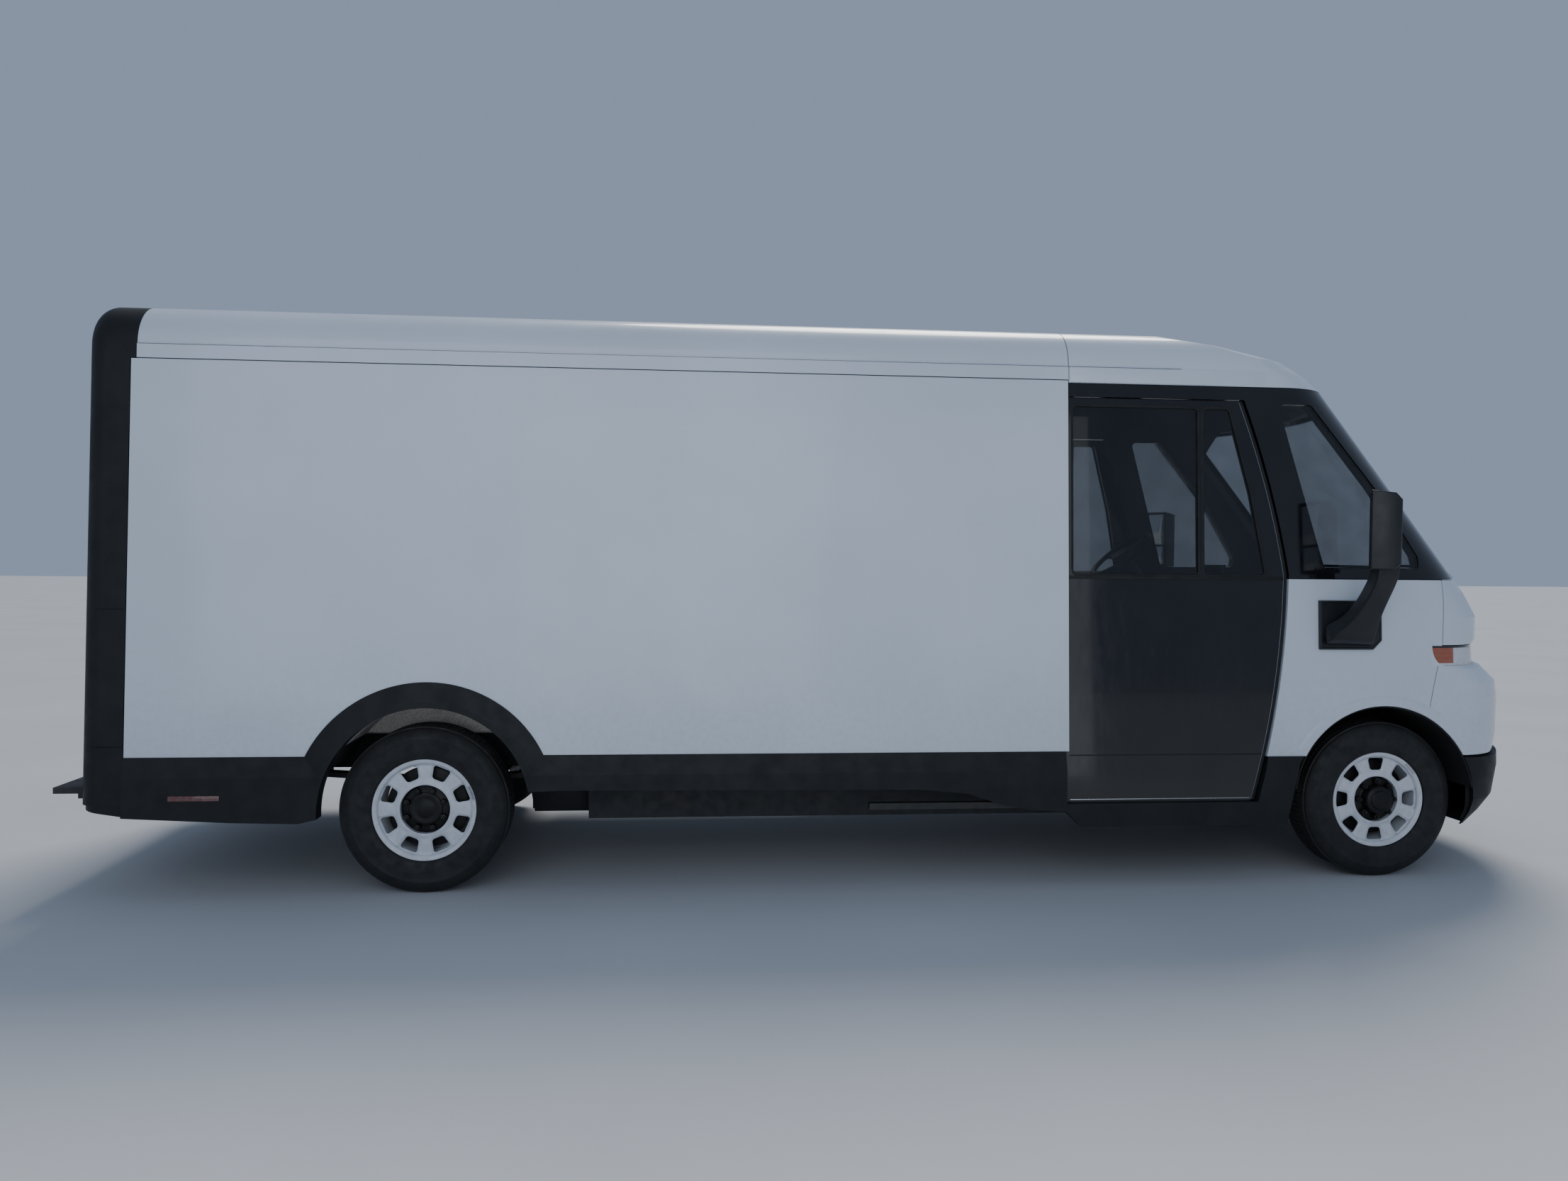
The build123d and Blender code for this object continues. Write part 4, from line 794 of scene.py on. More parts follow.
class Finishes:
    """All the van's materials: those of its record slots, then those of details."""

    def __init__(self, layout: Layout) -> None:
        """Builds each material once."""
        brown, grey = (0.16, 0.13, 0.10), (0.12, 0.12, 0.12)
        mud = (0.042, 0.036, 0.030)
        red, amber = (0.35, 0.004, 0.004), (0.40, 0.075, 0.012)
        dull_red = (0.12, 0.022, 0.016)
        axle = layout.front_axle
        plan = (
            # white_paint and wheel_white are a darkened blue-grey white: painted open shade over
            # the white paint's own colour.
            Paint("white_paint", (0.62, 0.68, 0.76), (0.30, 0.27, 0.23)),
            Paint("wheel_white", (0.66, 0.70, 0.76), (0.25, 0.22, 0.19), roughness=0.4,
                  coat=0.2, dust_low=0.1, dust_high=1.2, dust_share=0.35),
            Grained("black_texture", (0.007, 0.008, 0.009), (0.024, 0.024, 0.026), sheen=0.32),
            Gloss("black_gloss", (0.004, 0.004, 0.005)),
            Glass("tinted_glass", (0.010, 0.014, 0.016), 0.34),
            Glass("screen_glass", (0.03, 0.045, 0.045), 0.22, has_border=True),
            Lamp("lamp_clear", (0.85, 0.88, 0.92), amber, axle + 0.355, end_x=axle + 0.237),
            Lamp("lamp_red", red, red, alpha=0.9),
            Grained("liner_board", (0.42, 0.42, 0.41), (0.30, 0.29, 0.27), roughness=0.6,
                    grain=300, relief=0.2),
            # liner_plastic's pale colour is the felt's grey-brown brightened by painted light.
            Felt("liner_plastic", (0.86, 0.81, 0.75), (0.010, 0.010, 0.011)),
            Ribbed("floor_board", (0.16, 0.16, 0.16), brown, pitch=0.04),
            Ribbed("floor_rubber", (0.022, 0.022, 0.023), grey, pitch=0.02),
            Ribbed("step_rubber", (0.012, 0.012, 0.013), grey, axis="X", pitch=0.018),
            Grained("cab_trim", (0.035, 0.036, 0.038), (0.06, 0.06, 0.06), roughness=0.6,
                    grain=600, bloom=0.15),
            Weave("seat_fabric", (0.018, 0.018, 0.020), (0.05, 0.05, 0.055)),
            Metal("frame_steel", (0.02, 0.02, 0.02), mud, metallic=0.2, roughness=0.5),
            Metal("spring_steel", (0.035, 0.033, 0.03), brown, metallic=0.5, roughness=0.5),
            Metal("cast_iron", (0.045, 0.04, 0.036), brown, metallic=0.6, roughness=0.6,
                  relief=0.5),
            # battery_case is near black as painted shade, standing in for the shadow under the
            # van.
            Metal("battery_case", (0.022, 0.023, 0.025), mud, metallic=0.4, roughness=0.5),
            Tread("tyre", (0.008, 0.008, 0.009), (0.026, 0.025, 0.024)),
            Metal("hub_iron", (0.012, 0.012, 0.012), (0.05, 0.045, 0.04), metallic=0.5,
                  roughness=0.45),
            Metal("bright_trim", (0.45, 0.46, 0.48), (0.2, 0.2, 0.2), roughness=0.25,
                  dirt_share=0.2),
            Metal("dim_trim", (0.16, 0.18, 0.21), (0.08, 0.08, 0.08), roughness=0.3,
                  dirt_share=0.3),
            Grained("seal_rubber", (0.006, 0.006, 0.006), (0.02, 0.02, 0.02), roughness=0.7),
            # The mirror's black is lighter than the other black plastic: painted highlight that
            # brings out its forms.
            Grained("mirror_black", (0.013, 0.015, 0.017), (0.036, 0.038, 0.042),
                    roughness=0.36, sheen=0.4),
            Metal("mirror_glass", (0.8, 0.82, 0.84), (0.6, 0.6, 0.6), metallic=1,
                  roughness=0.09, relief=0.02, dirt_share=0.1),
            Lamp("reflector", dull_red, dull_red, alpha=1.0, ribs=1400),
            Gloss("screen_face", (0.004, 0.005, 0.007), 0.12),
        )
        self.made = {finish.name: finish.build() for finish in plan}

    def __getitem__(self, slot: str) -> bpy.types.Material:
        """The material of a slot or a detail finish."""
        return self.made[slot]

    def dress_frame(self) -> None:
        """Gives every carried-over CAD node its slot's material."""
        for part in frame["record"]["subparts"]:
            node = frame["nodes"][part["node"]]
            for k in range(len(node.material_slots)):
                node.material_slots[k].material = self.made[part["material_slot"]]
            log.info("node %s is finished in %s", node.name, part["material_slot"])


@dataclass
class Group:
    """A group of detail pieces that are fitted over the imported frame."""

    layout: Layout
    finishes: Finishes

    def fit(self, piece: Piece, finish: str, slot: str, body: str = "root") -> Piece:
        """Gives a piece its finish and the body it rides on."""
        piece.data.materials.clear()
        piece.data.materials.append(self.finishes[finish])
        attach(piece, body)
        log.info("%s rides on %s, %d faces", piece.name, body, len(piece.data.polygons))
        return piece


# Wheels


@dataclass
class Wheel(Group):
    """A pressed steel wheel with its tyre, hub and nuts, made once about the origin."""

    steps: int = 96
    hub_steps: int = 64
    tread_deep: float = 0.008
    groove_wide: float = 0.0020
    window_pitch: float = 0.1745
    window_deep: float = 0.061
    window_wide: float = 0.085
    window_slant: float = 13.5
    window_corner: float = 0.011
    window_face: float = 0.0724
    window_back: float = 0.0600
    window_count: int = 8
    nut_count: int = 8
    nut_pitch: float = 0.090
    nut_r: float = 0.0145
    nut_out: float = 0.078
    stud_r: float = 0.0075
    weight_long: float = 17
    weight_place: float = -34
    rear_turn: float = 22.5

    def tyre(self) -> Piece:
        """A tyre with raised tread blocks and a ribbed shoulder."""
        top = self.layout.tyre_r
        base = top - self.tread_deep
        ribs = (0.082, 0.051, 0.046, 0.018, 0.013)
        side = [
            (0.2385, 0.094), (0.2390, 0.1030), (0.2440, 0.1075), (0.2510, 0.1085),
            (0.2560, 0.1110), (0.2800, 0.1155), (0.3050, 0.1172), (0.3280, 0.1160),
            (0.3310, 0.1172), (0.3345, 0.1165), (0.3480, 0.1115), (0.3600, 0.1050),
            (top - 0.016, 0.0965), (top - 0.010, 0.0905), (base, 0.0850),
        ]
        outer = side + [(base, y) for y in ribs]
        inner = [(r, -y) for r, y in reversed(outer)]
        bore = [(0.2180, -0.0900), (0.2180, 0.0900)]
        tyre = lathe("tyre", outer + inner + bore, self.steps)

        def on_tread(face: bpy.types.MeshPolygon, low: float, high: float) -> bool:
            """Whether a face of the tread lies between two distances from its middle."""
            radius = math.hypot(face.center.x, face.center.z)
            return radius > base - 0.002 and low < abs(face.center.y) < high

        for low, high, alone in ((-1, 0.013, True), (0.018, 0.046, True), (0.051, 0.082, False)):
            pick_faces(tyre, lambda face: on_tread(face, low, high))
            bpy.ops.mesh.inset(thickness=self.groove_wide, depth=self.tread_deep - 0.0004,
                               use_individual=alone)
            leave_edit(tyre)
        return smooth(tyre, 30)

    def rim(self) -> Piece:
        """The white pressed wheel with its eight rounded windows."""
        out = [
            (0.2350, 0.0925), (0.2365, 0.0965), (0.2345, 0.0985), (0.2290, 0.0978),
            (0.2240, 0.0962), (0.2190, 0.0945), (0.2150, 0.0910), (0.2130, 0.0860),
            (0.2105, 0.0815), (0.2060, 0.0792), (0.1980, 0.0790), (0.1520, 0.0795),
            (0.1430, 0.0785), (0.1350, 0.0795), (0.1290, 0.0820), (0.1240, 0.0845),
            (0.1190, 0.0845), (0.1140, 0.0825), (0.1125, 0.0780), (0.1125, 0.0560),
            (0.1180, 0.0600), (0.1500, 0.0690), (0.2020, 0.0680), (0.2080, 0.0640),
            (0.2080, -0.0840), (0.2130, -0.0915), (0.2210, -0.0955), (0.2345, -0.0985),
            (0.2365, -0.0965), (0.2350, -0.0925), (0.2210, -0.0880), (0.2165, -0.0800),
            (0.2165, 0.0800), (0.2210, 0.0880),
        ]
        rim = lathe("rim", out, self.steps)
        windows = ring_of(self.window(), self.window_count, "windows")
        return even_shading(smooth(cut(rim, windows), 40))

    def window(self) -> Piece:
        """The tool that cuts one window with its pressed dish."""
        pitch = self.window_pitch
        half_deep, half_wide = self.window_deep / 2, self.window_wide / 2
        inner_wide = half_wide - self.window_deep * math.tan(math.radians(self.window_slant))
        window = start_block("window", (pitch - half_deep, -self.window_face, -half_wide),
                             (pitch + half_deep, -self.window_back, half_wide))
        for vertex in window.data.vertices:
            if vertex.co.x < pitch:
                vertex.co.z = math.copysign(inner_wide, vertex.co.z)
        dish = ((0.0732, 0.0008), (0.0745, 0.0030), (0.0765, 0.0055), (0.0783, 0.0080),
                (0.0797, 0.0120), (0.0850, 0.0290))
        for out, grow in dish:
            extrude(window, facing(OUTWARDS))
            for vertex in window.data.vertices:
                if vertex.select:
                    is_outer = vertex.co.x > pitch
                    sign, wide = (1, half_wide) if is_outer else (-1, inner_wide)
                    vertex.co.x = pitch + sign * half_deep + sign * grow
                    vertex.co.z = math.copysign(wide + grow, vertex.co.z)
                    vertex.co.y = -out
        return bevel_picked(window, lambda first, last: abs(first.y - last.y) > 0.001,
                            self.window_corner, 4)

    def hub(self, end: str) -> Piece:
        """The dark hub in the wheel's middle, which stands out on the front axle."""
        face = {
            "front": [(0.0, 0.1255), (0.040, 0.1255), (0.046, 0.1240), (0.048, 0.1180),
                      (0.060, 0.1170), (0.066, 0.1140), (0.069, 0.1060), (0.070, 0.0700),
                      (0.076, 0.0640), (0.106, 0.0630)],
            "rear": [(0.0, 0.0715), (0.030, 0.0715), (0.036, 0.0690), (0.050, 0.0680),
                     (0.058, 0.0700), (0.072, 0.0700), (0.077, 0.0680), (0.078, 0.0630),
                     (0.106, 0.0625)],
        }
        back = [(0.1092, 0.0600), (0.1092, 0.0500), (0.0, 0.0500)]
        hub = lathe("hub", face[end] + back, self.hub_steps)
        return smooth(round_edges(hub, 0.0012, 2, 40), 40)

    def nuts(self) -> Piece:
        """Eight hexagonal nuts on their studs."""
        place = Vector((self.nut_pitch, -self.nut_out, 0))
        nut = start_rod("nut", self.nut_r, 0.032, place, OUTWARDS, 6)
        nut = round_edges(nut, 0.0018, 2, 30)
        place += Vector((0, -0.005, 0))
        stud = start_rod("stud", self.stud_r, 0.044, place, OUTWARDS, 12)
        nut = join([nut, round_edges(stud, 0.001, 2, 30)], "nut")
        return smooth(ring_of(nut, self.nut_count, "nuts"))

    def shield(self) -> Piece:
        """The dark brake shield behind the wheel's windows, which stands still."""
        out = [(0.060, 0.020), (0.150, 0.022), (0.186, 0.016), (0.190, 0.004), (0.184, 0.002),
               (0.150, 0.010), (0.060, 0.008)]
        return smooth(lathe("shield", out, self.hub_steps), 40)

    def weight(self) -> Piece:
        """A grey balance weight clipped to the rim's outer edge."""
        out = [(0.2215, 0.0952), (0.2330, 0.0990), (0.2330, 0.1000), (0.2215, 0.0975)]
        weight = spun("weight", out, 6, self.weight_long)
        weight.data.transform(Matrix.Rotation(math.radians(self.weight_place), 4, "Y"))
        return smooth(tidy_shell(weight))

    def build(self) -> None:
        """Makes each piece once and sets copies on all four hubs."""
        models = {"tyre": self.tyre(), "rim": self.rim(), "nuts": self.nuts(),
                  "weight": self.weight(), "shield": self.shield(),
                  "front": self.hub("front"), "rear": self.hub("rear")}
        looks = {"tyre": ("tyre", "tyre"), "rim": ("wheel_white", "wheel_white"),
                 "hub": ("hub_iron", "cast_iron"), "nuts": ("hub_iron", "cast_iron"),
                 "weight": ("bright_trim", "frame_steel")}
        for end, x in (("front", self.layout.front_axle), ("rear", self.layout.rear_axle)):
            for side in Side:
                away = Vector((x, side.value * self.layout.wheel_y, self.layout.tyre_r))
                turn = Matrix.Identity(4)
                if side is Side.LEFT:
                    turn = Matrix.Rotation(math.pi, 4, "Z")
                if end == "rear":
                    turn = turn @ Matrix.Rotation(math.radians(self.rear_turn), 4, "Y")
                place = Matrix.Translation(away) @ turn
                tag = f"{end}_{side.word}"
                for word, (finish, slot) in looks.items():
                    model = models[end if word == "hub" else word]
                    piece = copy_of(model, f"wheel_{word}_{tag}", place)
                    self.fit(piece, finish, slot, f"wheel_{tag}")
                    if word in ("tyre", "rim"):
                        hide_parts(f"{word}_{tag}")
                still = copy_of(models["shield"], f"brake_shield_{tag}", place)
                carrier = f"steer_{side.word}" if end == "front" else "root"
                self.fit(still, "hub_iron", "cast_iron", carrier)
        for model in models.values():
            bpy.data.objects.remove(model)


# Cab doors


@dataclass
class CabDoor(Group):
    """The trims and seals on a sliding cab door. Offsets count from the front axle."""

    side: Side
    face_depth: float = 0.012
    rear_inset: float = 0.044
    foot_z: float = 0.419
    foot_front: float = -0.695
    groove_z: float = 0.631
    groove_front: float = -0.632
    belt_z: float = 1.487
    belt_front: float = -0.528
    pane_low: float = 1.497
    pane_high: float = 2.322
    pane_rear: float = -1.594
    pane_divide: float = -0.955
    divide_wide: float = 0.020
    pane_round: float = 0.026
    arc_steps: int = 14

    def spot(self, x: float, z: float, depth: float) -> Vector:
        """A point a given depth below the side's outer surface."""
        return Vector((x, self.side.value * (self.layout.wall_y(z) - depth), z))

    def out(self) -> Vector:
        """The direction that faces away from the door."""
        return Vector((0, self.side.value, self.layout.lean)).normalized()

    def bar(self, word: str, line: Outline, halves: Point, finish: str = "seal_rubber",
            sunk: float = 0.0) -> None:
        """A slim bar of metal or rubber along an (x, z) line of the door's face."""
        points = [self.spot(x, z, self.face_depth + sunk) for x, z in line]
        piece = strip(f"door_{word}_{self.side.word}", points, halves, self.out())
        piece = eased(piece, min(halves) * 0.6, 2, 50)
        slot = "black_texture" if finish == "seal_rubber" else "frame_steel"
        self.fit(piece, finish, slot, f"slide_door_{self.side.word}")

    def leading_edge(self, inset: float) -> Outline:
        """Points down the curved front edge of the door, drawn in by an inset."""
        arcs = (
            ((-0.733, 2.356), (-0.591, 1.903), (-0.510, 1.508)),
            ((-0.510, 1.508), (-0.553, 1.012), (-0.687, 0.411)),
        )
        line: Outline = []
        for first, middle, last in arcs:
            centre, radius = circle_through(first, middle, last)
            start, end = (math.atan2(z - centre[1], x - centre[0]) for x, z in (first, last))
            for k in range(self.arc_steps + 1):
                angle = start + (end - start) * k / self.arc_steps
                line.append((
                    self.layout.front_axle + centre[0] + (radius - inset) * math.cos(angle),
                    centre[1] + (radius - inset) * math.sin(angle),
                ))
        return [p for k, p in enumerate(line) if k == 0 or math.dist(p, line[k - 1]) > 0.004]

    def build(self) -> None:
        """Makes the trims, the seals and the seam across the door's foot."""
        axle = self.layout.front_axle
        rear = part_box(f"door_{self.side.word}")[0].x + self.rear_inset

        def level(front: float, z: float) -> Outline:
            """A level line from the door's rear edge."""
            return [(rear, z), (axle + front, z)]

        self.bar("edge_trim", self.leading_edge(0.016), (0.0018, 0.0012), "dim_trim")
        self.bar("edge_seal", self.leading_edge(0.006), (0.006, 0.002))
        self.bar("foot_trim", level(self.foot_front, self.foot_z), (0.0025, 0.002),
                 "bright_trim")
        self.bar("foot_seam", level(self.groove_front, self.groove_z), (0.003, 0.001))
        self.bar("belt_seal", level(self.belt_front, self.belt_z), (0.008, 0.003))
        self.panes()

    def panes(self) -> None:
        """Rubber beads round both panes."""
        axle, low, high = self.layout.front_axle, self.pane_low, self.pane_high
        rear, divide = axle + self.pane_rear, axle + self.pane_divide
        front = divide + self.divide_wide
        loops = {
            "rear": [(rear, low), (divide, low), (divide, high), (rear, high)],
            "front": [(front, low), (axle - 0.612, low), (axle - 0.686, 1.900),
                      (axle - 0.797, high), (front, high)],
        }
        for word, corners in loops.items():
            loop = rounded(corners, self.pane_round)
            self.bar(f"seal_{word}", loop + loop[:1], (0.007, 0.003), sunk=0.003)


# Mirrors


@dataclass
class Mirror(Group):
    """A door mirror: a rounded head turned to the driver, its arm and its plate."""

    side: Side
    head_x: float = -0.180
    out_y: float = 1.340
    half_deep: float = 0.065
    half_wide: float = 0.080
    low_z: float = 1.537
    high_z: float = 1.910
    yaw: float = 30
    corner: float = 0.028
    border: float = 0.017
    nose_wide: float = 0.72
    nose_tall: float = 0.80
    nose_drop: float = 0.010
    brow_back: float = 0.028
    brow_drop: float = 0.016
    plate_rear: float = -0.355
    plate_front: float = -0.038
    plate_low: float = 1.142
    plate_high: float = 1.382
    plate_chamfer: float = 0.045

    def head_y(self) -> float:
        """How far out the head's middle stands, so that its corner reaches out_y."""
        turn = math.radians(self.yaw)
        reach = (self.half_wide - self.corner) * math.cos(turn)
        reach += (self.half_deep - self.corner) * math.sin(turn)
        return self.out_y - reach - self.corner

    def set_head(self, piece: Piece) -> Piece:
        """Turns a piece of the head towards the driver and puts it in its place."""
        sign = self.side.value
        middle = Vector((self.layout.front_axle + self.head_x, sign * self.head_y(),
                         (self.low_z + self.high_z) / 2))
        turn = Matrix.Rotation(sign * math.radians(self.yaw), 4, "Z")
        piece.data.transform(Matrix.Translation(middle) @ turn)
        return piece

    def head(self) -> Piece:
        """The housing, drawn in towards its nose and open towards the rear."""
        tall = (self.high_z - self.low_z) / 2
        head = start_block("head", (-self.half_deep, -self.half_wide, -tall),
                           (self.half_deep, self.half_wide, tall))
        extrude(head, facing(FORWARDS))
        for vertex in head.data.vertices:
            if vertex.select:
                vertex.co.y *= self.nose_wide
                vertex.co.z = vertex.co.z * self.nose_tall - self.nose_drop
            elif vertex.co.x > 0:
                vertex.co.x -= self.brow_back
                if vertex.co.z > 0:
                    vertex.co.z -= self.brow_drop
        recess(head, facing(BACKWARDS), 0.014, (0.012, 0, 0))
        head = round_edges(tidy_shell(head), 0.012, 4, 50)
        return self.set_head(smooth(head, 50))

    def arm(self) -> Piece:
        """The arm, which widens into a rounded foot on the plate."""
        x = self.layout.front_axle + self.head_x
        foot, head = self.layout.wall_y(1.215), self.head_y()
        stations = (
            (x - 0.034, foot + 0.010, 1.205, 0.044, 0.124),
            (x - 0.032, foot + 0.034, 1.218, 0.044, 0.120),
            (x - 0.018, foot + 0.066, 1.254, 0.038, 0.088),
            (x - 0.004, foot + 0.118, 1.330, 0.032, 0.062),
            (x, foot + 0.178, 1.412, 0.032, 0.055),
            (x, head - 0.020, 1.478, 0.034, 0.052),
            (x, head, 1.520, 0.038, 0.052),
            (x, head, self.low_z + 0.030, 0.038, 0.052),
        )
        line = [Vector((x, self.side.value * y, z)) for x, y, z, *_ in stations]
        halves = [station[3:] for station in stations]
        arm = strip("arm", line, halves, FORWARDS)
        return smooth(soften(round_edges(arm, 0.014, 2, 40), 2), 60)

    def plate(self) -> Piece:
        """The black plate on the fender, with a raised rim and a chamfered corner."""
        sign, axle = self.side.value, self.layout.front_axle
        middle = (self.plate_low + self.plate_high) / 2
        wall, front = self.layout.wall_y(middle), axle + self.plate_front
        plate = start_block(
            "plate", (axle + self.plate_rear, sign * (wall - 0.003), self.plate_low),
            (front, sign * (wall + 0.020), self.plate_high))
        bevel_picked(plate, lambda *ends: all(
            c.x > front - 0.002 and c.z < self.plate_low + 0.001 for c in ends),
            self.plate_chamfer, 1)
        recess(plate, facing(Vector((0, sign, 0))), 0.010, (0, -sign * 0.004, 0))
        self.layout.lean_with_wall(plate, self.side, middle)
        return eased(plate, 0.005, 3)

    def build(self) -> Piece:
        """Makes one side's mirror and returns its housing."""
        tall = (self.high_z - self.low_z) / 2
        shell = join([self.head(), self.plate(), self.arm()], f"mirror_{self.side.word}")
        # The housing's lighter black is a painted highlight over the black plastic.
        self.fit(shell, "mirror_black", "black_texture")
        for word, z0, z1 in (("main", -tall + 0.150, tall - 0.018),
                             ("wide", -tall + 0.018, -tall + 0.138)):
            glass = start_block(f"mirror_glass_{word}_{self.side.word}",
                                (0.008 - self.half_deep, self.border - self.half_wide, z0),
                                (0.016 - self.half_deep, self.half_wide - self.border, z1))
            glass = self.set_head(eased(glass, 0.002, 2, 60))
            self.fit(glass, "mirror_glass", "frame_steel")
        return shell


# Seat and cockpit


@dataclass
class DriverSeat(Group):
    """Cushion, back and head rest, swelled like stuffed fabric and sewn in two channels."""

    voxel: float = 0.006
    pressure: float = 4.0
    frames: int = 20
    swell_cap: float = 0.010
    cuts: int = 9
    corner: float = 0.016
    spare: float = 0.6
    channel_at: float = 0.62
    channel_wide: float = 0.05
    channel_deep: float = 0.005
    cushion_top: float = 1.250
    cushion_long: float = 0.510
    back_top: float = 1.850
    back_lean: float = 0.075
    seat_x: float = -1.200
    head_half: float = 0.128
    post_r: float = 0.006
    post_y: float = 0.06

    def stuff(self, piece: Piece, low: Vector, high: Vector) -> None:
        """Swells a pad like stuffed fabric and keeps the result in its mesh.

        Args:
            piece: The pad, in its plain shape.
            low: The lowest corner of the room that it may fill.
            high: The highest corner of that room.
        """
        apply(piece, "REMESH", mode="VOXEL", voxel_size=self.voxel)
        starts = [vertex.co.copy() for vertex in piece.data.vertices]
        cloth = piece.modifiers.new("stuffing", "CLOTH")
        cloth.settings.use_pressure = True
        cloth.settings.uniform_pressure_force = self.pressure
        cloth.settings.effector_weights.gravity = 0
        for k in range(self.frames):
            bpy.context.scene.frame_set(k + 1)
        bpy.ops.object.modifier_apply(modifier=cloth.name)
        bpy.context.scene.frame_set(1)
        moved = 0.0
        for vertex, start in zip(piece.data.vertices, starts):
            move = vertex.co - start
            moved = max(moved, move.length)
            if move.length > self.swell_cap:
                move.length = self.swell_cap
            place = start + move
            vertex.co = [min(max(place[k], low[k]), high[k]) for k in range(3)]
        log.info("%s swelled by up to %.1f mm before its cap", piece.name, moved * 1000)

    def pad(self, name: str, low: Vector, high: Vector, crown: float, lean_back: float = 0.0
            ) -> Piece:
        """A stuffed block: rounded, crowned on its larger faces, with sewn channels.

        Args:
            name: The new piece's name.
            low: Lowest corner.
            high: Highest corner.
            crown: How far the middle swells.
            lean_back: How far its top stands behind its foot.

        Returns:
            The padded piece.
        """
        inner = Vector((crown, crown, crown)) * self.spare
        piece = start_block(name, low + inner, high - inner)
        edit_all(piece)
        bpy.ops.mesh.subdivide(number_cuts=self.cuts)
        leave_edit(piece)
        size, middle = high - low, (low + high) / 2
        thin = min(range(3), key=lambda k: size[k])

        def share_of(vertex: bpy.types.MeshVertex) -> list[float]:
            """A point's place in the block, from -1 to 1 along each axis."""
            return [2 * (vertex.co[k] - middle[k]) / size[k] for k in range(3)]

        for vertex in piece.data.vertices:
            share = share_of(vertex)
            swell = 1.0
            for k in range(3):
                if k != thin:
                    swell *= math.cos(min(1.0, abs(share[k])) * math.pi / 2) ** 0.5
            push = crown * swell * (1 if share[thin] > 0 else -1)
            if abs(share[thin]) > 0.5:
                vertex.co[thin] += push * self.spare
        piece = round_edges(piece, self.corner, 3, 60)
        self.stuff(piece, low, high)
        for vertex in piece.data.vertices:
            share = share_of(vertex)
            off = (abs(share[1]) - self.channel_at) / self.channel_wide
            if abs(share[thin]) > 0.5:
                groove = math.exp(-off ** 2) * self.channel_deep
                vertex.co[thin] -= math.copysign(groove, share[thin])
            vertex.co.x -= lean_back * (vertex.co.z - low.z) / size.z
        smooth(soften(piece, 1), 60)
        self.fit(piece, "seat_fabric", "seat_fabric")
        return piece

    def build(self) -> None:
        """Makes the three pads in the room of their CAD solids, and the head rest's posts."""
        low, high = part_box("seat_pads")
        top, back_top, half = self.cushion_top, self.back_top, self.head_half
        cushion = self.pad("seat_cushion", Vector((high.x - self.cushion_long, low.y, low.z)),
                           Vector((high.x, high.y, top)), 0.012)
        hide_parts("seat_pads")
        x = self.layout.front_axle + self.seat_x
        self.pad("seat_back", Vector((x - 0.240, low.y + 0.012, top + 0.002)),
                 Vector((x - 0.130, high.y - 0.012, back_top)), 0.012, self.back_lean)
        middle = (low.y + high.y) / 2
        self.pad("seat_head", Vector((x - 0.310, middle - half, back_top + 0.012)),
                 Vector((x - 0.222, middle + half, high.z - 0.002)), 0.008)
        posts = []
        for y in (middle - self.post_y, middle + self.post_y):
            foot = Vector((x - 0.262, y, back_top + 0.005))
            posts.append(start_rod("post", self.post_r, 0.06, foot, UP, 12))
        self.fit(smooth(join(posts, "seat_head_posts")), "bright_trim", "frame_steel")


@dataclass
class Cockpit(Group):
    """Displays and air vents on the dashboard."""

    slat_count: int = 5
    slat_pitch: float = 0.014
    slat_thick: float = 0.006
    vent_z: float = 1.25
    vent_half: float = 0.07

    def build(self) -> None:
        """Makes the pieces that stand on the dashboard."""
        axle = self.layout.front_axle
        for word, y, wide, z, tall in (("main", 0.10, 0.26, 1.475, 0.155),
                                       ("driver", 0.43, 0.24, 1.455, 0.095)):
            screen = start_block(f"display_{word}",
                                 (axle - 0.375, y - wide / 2, z - tall / 2),
                                 (axle - 0.350, y + wide / 2, z + tall / 2))
            recess(screen, facing(BACKWARDS), 0.006, (0.002, 0, 0))
            self.fit(eased(screen, 0.004, 3, 60), "screen_face", "black_gloss")
        vents = []
        for y in (-0.72, -0.38, 0.74):
            for k in range(self.slat_count):
                z = self.vent_z + self.slat_pitch * k
                vents.append(start_block("slat", (axle - 0.462, y - self.vent_half, z),
                                         (axle - 0.448, y + self.vent_half,
                                          z + self.slat_thick)))
        self.fit(eased(join(vents, "dash_vents"), 0.0015), "seal_rubber", "cab_trim")


# Small outer pieces


